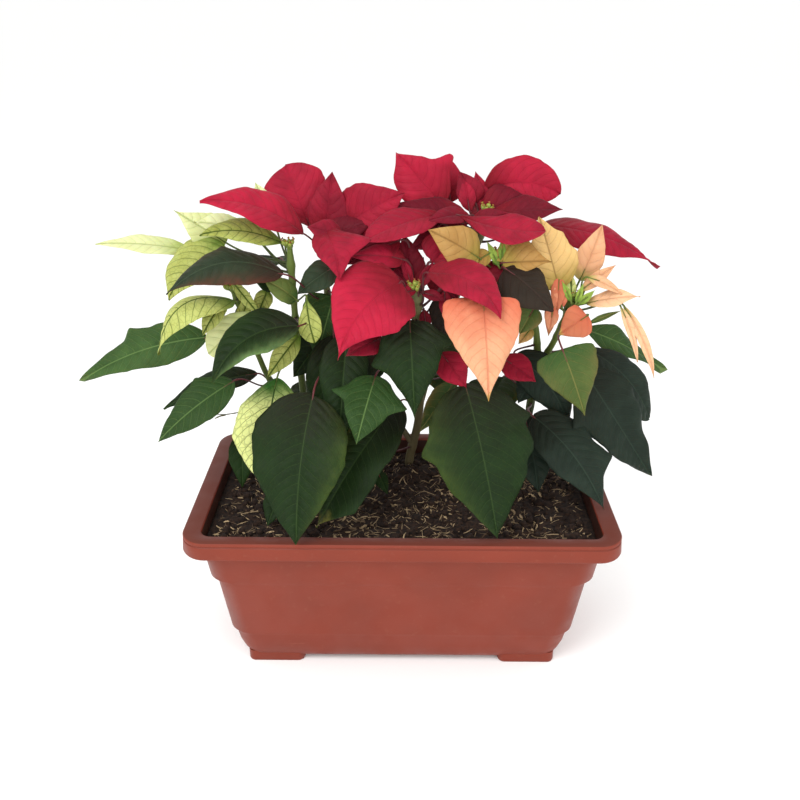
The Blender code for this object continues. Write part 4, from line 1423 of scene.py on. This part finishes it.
GREEN_SMALL = (
    Blade("leaf_soil_front", "cream_main", 182, (-114, -30, 178), (-126, -62, 157), (-2, -10, 8), 26, 3, O),
    Blade("leaf_olive_inner", "red_right", 262, (50, 10, 275), (15, -30, 240), (0, -10, 7), 24, 3, N,
          skin=Skin.OLIVE, tone=-0.8, age=(1, 1)),
    Blade("leaf_inner_left", "red_left", 300, (-15, 50, 295), (-55, 30, 250), (0, -10, 6), 30, 4, O),
    Blade("leaf_soil_centre", "red_front", 178, (-27, 20, 172), (-15, 2, 152), (0, -8, 8), 14, 2, N,
          tone=0.4),
    Blade("leaf_folded_dark", "red_left", 378, (-60, 22, 384), (-97, 8, 360), (0, -8, 8), 30, 3, O,
          skin=Skin.DUSKY, tone=0.3),
    Blade("leaf_veined_tan", "peach_main", 385, (87, 4, 392), (128, -8, 397), (0, -9, 7), 36, 2, A,
          lean=-0.35, skin=Skin.TAN, tone=-0.5),
    Blade("leaf_olive_low", "peach_main", 352, (119, 8, 350), (105, -4, 328), (0, -9, 6), 24, 2, O,
          skin=Skin.OLIVE, age=(1, 1)),
    Blade("leaf_inner_dark", "red_left", 330, (-65, 10, 320), (-61, -30, 218), (0, -10, 5), 52, 6, O,
          tone=0.1),
    Blade("leaf_inner_low", "cream_main", 322, (-74, 30, 314), (-105, 14, 275), (0, -10, 5), 36, 4, O,
          tone=-0.2),
    Blade("leaf_inner_high", "red_left", 352, (-66, 32, 350), (-84, 16, 288), (0, -10, 4), 50, 4, W,
          skin=Skin.PALE, tone=-1.6),
    Blade("leaf_inner_brown", "red_front", 320, (-34, 22, 302), (-49, 6, 267), (0, -10, 5), 32, 3, O,
          skin=Skin.DUSKY),
    Blade("leaf_head_dark", "red_left", 392, (-72, 30, 398), (-27, 32, 404), (0, -8, 10), 26, 2, O,
          skin=Skin.BRONZE),
    Blade("leaf_shadow_brown", "red_front", 352, (-2, 14, 392), (-52, 4, 376), (0, -8, 8), 20, 3, O,
          skin=Skin.BRONZE),
    Blade("leaf_core_dark", "red_front", 350, (-4, 22, 350), (18, 34, 388), (0, -10, 4), 30, 3, O,
          skin=Skin.BRONZE),
    Blade("leaf_core_low", "red_front", 330, (0, 24, 322), (-34, 20, 336), (0, -10, 5), 28, 3, O,
          skin=Skin.BRONZE),
    Blade("leaf_core_mid", "red_front", 335, (36, 16, 358), (38, 4, 316), (0, -10, 4), 28, 3, O,
          skin=Skin.BRONZE),
    Blade("leaf_back_middle", "red_left", 300, (-40, 84, 318), (-46, 112, 262), (0, 10, 5), 50, 5, O),
    Blade("leaf_back_high", "cream_main", 366, (-120, 70, 376), (-146, 106, 350), (-2, 8, 8), 40, 5, O,
          tone=0.3),
    Blade("leaf_back_far", "peach_main", 326, (118, 84, 350), (130, 112, 310), (0, 9, 7), 44, 5, O,
          skin=Skin.DARK),
    Blade("leaf_left_sliver", "cream_main", 358, (-115, 14, 362), (-137, 8, 378), (0, -9, 7), 15, 2, N),
    Blade("leaf_mid_right", "peach_main", 292, (134, 34, 288), (112, 20, 246), (0, -10, 5), 32, 4, O,
          skin=Skin.DARK),
    Blade("leaf_corner_inner", "peach_main", 226, (120, 20, 232), (130, -30, 176), (0, -10, 8), 48, 6, O,
          skin=Skin.DARK),
)
BRONZE = (
    Blade("leaf_bronze_left", "red_left", 348, (-106, -8, 384), (-200, -45, 377), (0, -8, 10), 42, 14, O, -14,
          bow=12, lobes=(Lobe(1, 0.45, 6),), age=(0.3, 0.8), skin=Skin.DUSKY),
    Blade("leaf_bronze_right", "peach_main", 372, (88, -5, 390), (128, -36, 361), (3, -10, 9), 48, 4, O, -10,
          tone=0.5),
)
RED = (
    Blade("red_bract_left_wing", "red_left", 398, (-90, 22, 412), (-175, 0, 445), (0, -7, 10), 44, 6, N,
          bow=9, tone=0.3),
    Blade("red_bract_left_upright", "red_left", 402, (-86, 52, 408), (-111, 76, 462), (0, -10, 3), 60, 4, S),
    Blade("red_bract_left_inner", "red_left", 395, (-60, 48, 410), (0, 46, 444), (0, -10, 6), 56, 6, O),
    Blade("red_bract_left_lobed", "red_left", 392, (-72, 20, 417), (-55, -30, 386), (0, -8, 10), 34, 4, O,
          bow=-3, lobes=(Lobe(-1, 0.5, 19, 0.34),)),
    Blade("red_bract_top_pointed", "red_right", 418, (35, 56, 430), (-8, 72, 475), (0, -10, 2), 46, 5, O,
          tone=0.2, lobes=(Lobe(1, 0.46, 15, 0.30, soft=True), Lobe(-1, 0.75, 5, 0.5, soft=True))),
    Blade("red_bract_top_round", "red_right", 416, (72, 66, 440), (143, 62, 440), (0, -10, 2), 48, 5, R,
          bow=-10, tone=0.2),
    Blade("red_bract_top_front", "red_right", 408, (48, 30, 428), (122, 0, 422), (0, -7, 10), 38, -2, S,
          bow=4),
    Blade("red_bract_top_left", "red_right", 403, (35, 38, 426), (-35, 2, 411), (-2, -6, 10), 42, 6, R),
    Blade("red_bract_front_large", "red_front", 362, (-3, -15, 380), (-55, -73, 330), (-1, -10, 10), 76, 7, A,
          bow=8, lobes=(Lobe(-1, 0.62, 4, 0.4),), tone=0.5),
    Blade("red_bract_front_right", "red_front", 356, (20, -20, 390), (80, -65, 365), (0, -6, 10), 42, 6, O,
          bow=-12),
    Blade("red_bract_right_wing", "red_right", 396, (130, 66, 410), (240, 50, 375), (0, -5, 10), 46, 8, A, -8,
          bow=-5),
    Blade("red_bract_back_right", "red_right", 412, (84, 74, 424), (96, 119, 396), (0, 4, 10), 58, 6, O),
    Blade("red_bract_back_left", "red_left", 398, (-66, 62, 408), (-48, 116, 388), (0, 4, 10), 56, 6, O),
)
# The strongly negative tones here paint shade: they darken the bracts that sit in the shadow of the heads.
RED_SMALL = (
    Blade("red_bract_peak", "red_left", 398, (-73, 46, 404), (-66, 58, 460), (0, -10, 3), 36, 3, O,
          tone=-0.3),
    Blade("red_bract_bud_cover", "red_left", 400, (-56, 20, 408), (-86, 12, 421), (0, -8, 8), 26, 3, O,
          tone=-0.3),
    Blade("red_bract_shadow", "red_front", 358, (-4, 18, 408), (-54, 8, 388), (0, -8, 8), 27, 3, O,
          tone=-0.8),
    Blade("red_bract_heart", "red_right", 410, (62, 34, 417), (93, 30, 430), (0, -9, 6), 23, 2, O, tone=-0.5),
    Blade("red_bract_left_fill", "red_left", 396, (-75, 40, 404), (-30, 36, 418), (0, -8, 8), 36, 3, O,
          tone=-0.9),
    Blade("red_bract_dark_left", "red_right", 404, (58, 44, 417), (-12, 44, 433), (0, -8, 9), 36, 4, O,
          tone=-1.0),
    Blade("red_bract_dark_low", "red_right", 402, (52, 36, 415), (5, 20, 400), (0, -9, 7), 34, 3, O,
          tone=-0.9),
    Blade("red_bract_mid_low", "red_right", 400, (30, 20, 416), (33, 12, 384), (0, -10, 4), 32, 2, O,
          tone=-0.2),
    Blade("red_bract_behind_mid", "red_right", 416, (66, 60, 431), (50, 68, 459), (0, -10, 3), 26, 2, O,
          tone=-0.3),
    Blade("red_bract_behind_right", "red_right", 414, (72, 52, 428), (116, 54, 436), (0, -9, 6), 40, 3, O,
          tone=-0.7),
    Blade("red_bract_star_left", "red_front", 362, (7, 4, 368), (-13, 16, 388), (0, -10, 4), 10, 1, N,
          tone=-0.3),
    Blade("red_bract_star_up", "red_front", 362, (7, 4, 370), (-3, 14, 398), (0, -10, 4), 9, 1, N),
    Blade("red_bract_star_right", "red_front", 362, (14, 2, 369), (26, 10, 391), (0, -10, 4), 11, 1, N,
          tone=-0.3),
    Blade("red_bract_star_front", "red_front", 360, (11, -8, 370), (-7, -16, 369), (0, -8, 9), 10, 1, N),
    Blade("red_bract_star_far", "red_front", 360, (15, -6, 368), (37, -14, 363), (0, -8, 9), 11, 1, N,
          tone=-0.4),
    Blade("red_bract_deep_left", "red_front", 352, (-2, 16, 364), (-30, 28, 394), (0, -10, 5), 32, 3, O,
          tone=-1.0),
    Blade("red_bract_core", "red_front", 348, (26, 26, 384), (50, 20, 352), (0, -10, 4), 32, 2, O, tone=-0.9),
    Blade("red_bract_sliver", "red_front", 340, (18, 2, 349), (21, -6, 328), (0, -10, 3), 11, 1, N,
          tone=-0.8),
    Blade("red_bract_behind", "red_right", 415, (43, 70, 430), (38, 92, 470), (0, -10, 3), 30, 3, O),
    Blade("red_bract_inner_left", "red_right", 418, (60, 55, 425), (54, 66, 454), (0, -10, 3), 16, 2, N),
    Blade("red_bract_inner_mid", "red_right", 418, (76, 58, 421), (65, 74, 458), (0, -10, 3), 20, 2, N),
    Blade("red_bract_inner_right", "red_right", 415, (80, 45, 425), (140, 25, 435), (0, -7, 8), 34, 3, N,
          tone=-0.7),
    Blade("red_bract_shaded", "red_right", 408, (59, 38, 426), (20, 18, 425), (0, -6, 10), 22, 3, N,
          tone=-0.5),
    Blade("red_bract_under", "red_front", 330, (-18, -28, 333), (-50, -52, 325), (0, -8, 9), 26, 3, O,
          tone=-0.3),
    Blade("red_bract_small_left", "red_front", 345, (0, 8, 393), (-48, 2, 398), (0, -7, 10), 26, 4, O),
    Blade("red_bract_bright", "red_front", 362, (23, 12, 390), (57, 24, 411), (0, -8, 8), 24, 3, N, tone=0.4),
    Blade("red_bract_deep", "red_front", 358, (7, 12, 366), (0, 26, 411), (0, -10, 4), 30, 3, O, tone=-0.7),
    Blade("red_bract_front_dark", "red_front", 350, (60, 14, 386), (120, -12, 356), (0, -7, 9), 35, 4, O,
          tone=-0.6),
    Blade("red_bract_strip", "red_front", 350, (36, 2, 367), (38, -12, 342), (0, -10, 5), 12, 2, N,
          tone=-0.2),
    Blade("red_bract_low", "red_front", 322, (33, -22, 317), (56, -38, 289), (0, -9, 7), 29, 3, N),
    Blade("red_bract_low_right", "red_front", 326, (90, -5, 305), (120, -25, 290), (0, -9, 7), 27, 3, N),
)
PEACH = (
    Blade("peach_bract_upright", "peach_side", 345, (141, 15, 364), (118, 18, 430), (0, -10, 2), 44, 4, O,
          lobes=(Lobe(1, 0.72, 4), Lobe(1, 0.45, 3)), wave=2.0, skin=Skin.TAN, tone=0.7),
    Blade("peach_bract_back", "peach_side", 342, (162, 30, 368), (180, 40, 418), (0, -10, 2), 27, 4, O,
          skin=Skin.APRICOT, tone=-0.3),
    Blade("peach_bract_narrow", "peach_side", 349, (166, 12, 352), (210, -5, 365), (0, -7, 10), 20, 3, N,
          skin=Skin.APRICOT, tone=0.5),
    Blade("peach_bract_tan", "peach_main", 384, (66, 4, 396), (20, -15, 426), (0, -10, 5), 36, 4, O,
          skin=Skin.TAN, tone=-0.4),
    Blade("peach_bract_front_large", "peach_main", 378, (67, -40, 374), (71, -90, 301), (0, -10, 6), 66, 7, W,
          lean=0.08, tone=0.25),
)
PEACH_SMALL = (
    Blade("peach_bract_thin", "peach_side", 350, (160, 14, 363), (191, 18, 387), (0, -9, 6), 12, 2, N,
          skin=Skin.APRICOT, tone=-0.3),
    Blade("peach_bract_curl", "peach_side", 350, (165, 12, 377), (195, 0, 365), (0, -7, 9), 12, 3, N,
          skin=Skin.APRICOT),
    Blade("peach_bract_drooping", "peach_side", 345, (194, -2, 355), (213, -14, 305), (3, -10, 3), 9, 5, N,
          skin=Skin.APRICOT, tone=0.3),
    Blade("peach_bract_drooping_far", "peach_side", 345, (198, 0, 354), (231, -12, 288), (3, -10, 4), 9, 8, N,
          skin=Skin.APRICOT, tone=0.3),
    Blade("peach_bract_orange", "peach_side", 338, (168, 8, 342), (139, -13, 331), (0, -10, 5), 31, 3, O,
          tone=-0.7),
    Blade("peach_bract_crinkled", "peach_main", 388, (76, 10, 399), (56, 2, 389), (0, -10, 5), 16, 1, O,
          skin=Skin.TAN, tone=-1),
    Blade("peach_bract_ascending", "peach_main", 386, (80, 8, 393), (106, 12, 412), (0, -10, 4), 16, 1, N,
          skin=Skin.TAN, tone=-0.6),
    Blade("peach_leaflet_tall", "peach_main", 388, (84, 6, 388), (73, 14, 409), (0, -10, 3), 7, 1, N,
          skin=Skin.LIME),
    Blade("peach_leaflet_upper", "peach_main", 388, (87, 6, 391), (86, 13, 412), (0, -10, 3), 7, 1, N,
          tone=-0.3, skin=Skin.LIME),
    Blade("peach_bract_low_small", "peach_main", 335, (118, 12, 328), (106, 4, 315), (0, -10, 5), 13, 1, O,
          skin=Skin.TAN),
    Blade("peach_bract_salmon", "peach_side", 346, (136, 14, 356), (133, 4, 323), (0, -10, 3), 13, 1, O,
          tone=-0.4),
    Blade("peach_bract_strip", "peach_side", 350, (140, 14, 376), (138, 4, 343), (0, -10, 3), 13, 1, O,
          tone=-0.6),
    Blade("peach_leaflet_cream", "peach_side", 350, (153, 14, 356), (151, 22, 379), (0, -10, 3), 9, 1, N,
          skin=Skin.CREAM, tone=0.8),
    Blade("peach_leaflet_left", "peach_side", 350, (152, 8, 354), (142, 10, 374), (0, -10, 4), 6, 1, N,
          skin=Skin.LIME),
    Blade("peach_leaflet_middle", "peach_side", 350, (156, 8, 353), (162, 12, 371), (0, -10, 4), 6, 1, N,
          skin=Skin.LIME),
    Blade("peach_leaflet_right", "peach_side", 350, (158, 8, 352), (172, 8, 366), (0, -10, 4), 7, 1, N,
          skin=Skin.LIME),
    Blade("peach_leaflet_olive", "peach_side", 340, (169, 8, 334), (196, 2, 349), (0, -8, 8), 6, 1, N,
          skin=Skin.OLIVE),
    Blade("peach_leaflet_thin", "peach_side", 350, (173, 14, 375), (197, 8, 364), (0, -8, 8), 6, 1, N,
          tone=-0.7),
    Blade("peach_bract_inner", "peach_side", 345, (144, 8, 349), (137, 14, 373), (0, -10, 3), 15, 2, N),
    Blade("peach_bract_low", "peach_side", 340, (135, 6, 351), (131, -8, 332), (0, -10, 4), 13, 2, N),
)


def extra(blades: tuple) -> tuple:
    """Return the blades marked as having no node of their own."""
    for blade in blades:
        blade.in_cad = False
    return blades


def foliage() -> list[Foliage]:
    """Return every group of leaves and bracts."""
    return [
        Foliage("cream_bract", Skin.CREAM, Shoot.GREEN, CREAM + extra(CREAM_SMALL)),
        Foliage("green_leaf", Skin.GREEN, Shoot.RED, GREEN + extra(GREEN_SMALL)),
        Foliage("bronze_leaf", Skin.BRONZE, Shoot.RED, BRONZE),
        Foliage("red_bract", Skin.RED, Shoot.RED, RED + extra(RED_SMALL)),
        Foliage("peach_bract", Skin.PEACH, Shoot.GREEN, PEACH + extra(PEACH_SMALL)),
    ]


def main() -> None:
    """Build the planter, the soil, the plants and the studio."""
    logging.basicConfig(level=logging.INFO, format="%(name)s: %(message)s")
    Planter().build()
    PottingSoil().build()
    groups = foliage()
    joints: dict[str, list[float]] = {}
    for group in groups:
        for blade in group.blades:
            joints.setdefault(blade.stem, []).append(blade.height)
    stems = (
        PlantStem("red_plant_stem", "red_front", ("red_left", "red_right"), Shoot.WOODY, "brown_stem"),
        PlantStem("cream_plant_stem", "cream_main", ("cream_side",), Shoot.GREEN, "green_stem", DRY_TWIG),
        PlantStem("peach_plant_stem", "peach_main", ("peach_side",), Shoot.GREEN, "green_stem"),
    )
    for stem in stems:
        stem.build(joints)
    for name in STEMS:
        BudCluster(name).build()
    for group in groups:
        group.build()
    Studio().build()


if __name__ == "__main__":
    main()
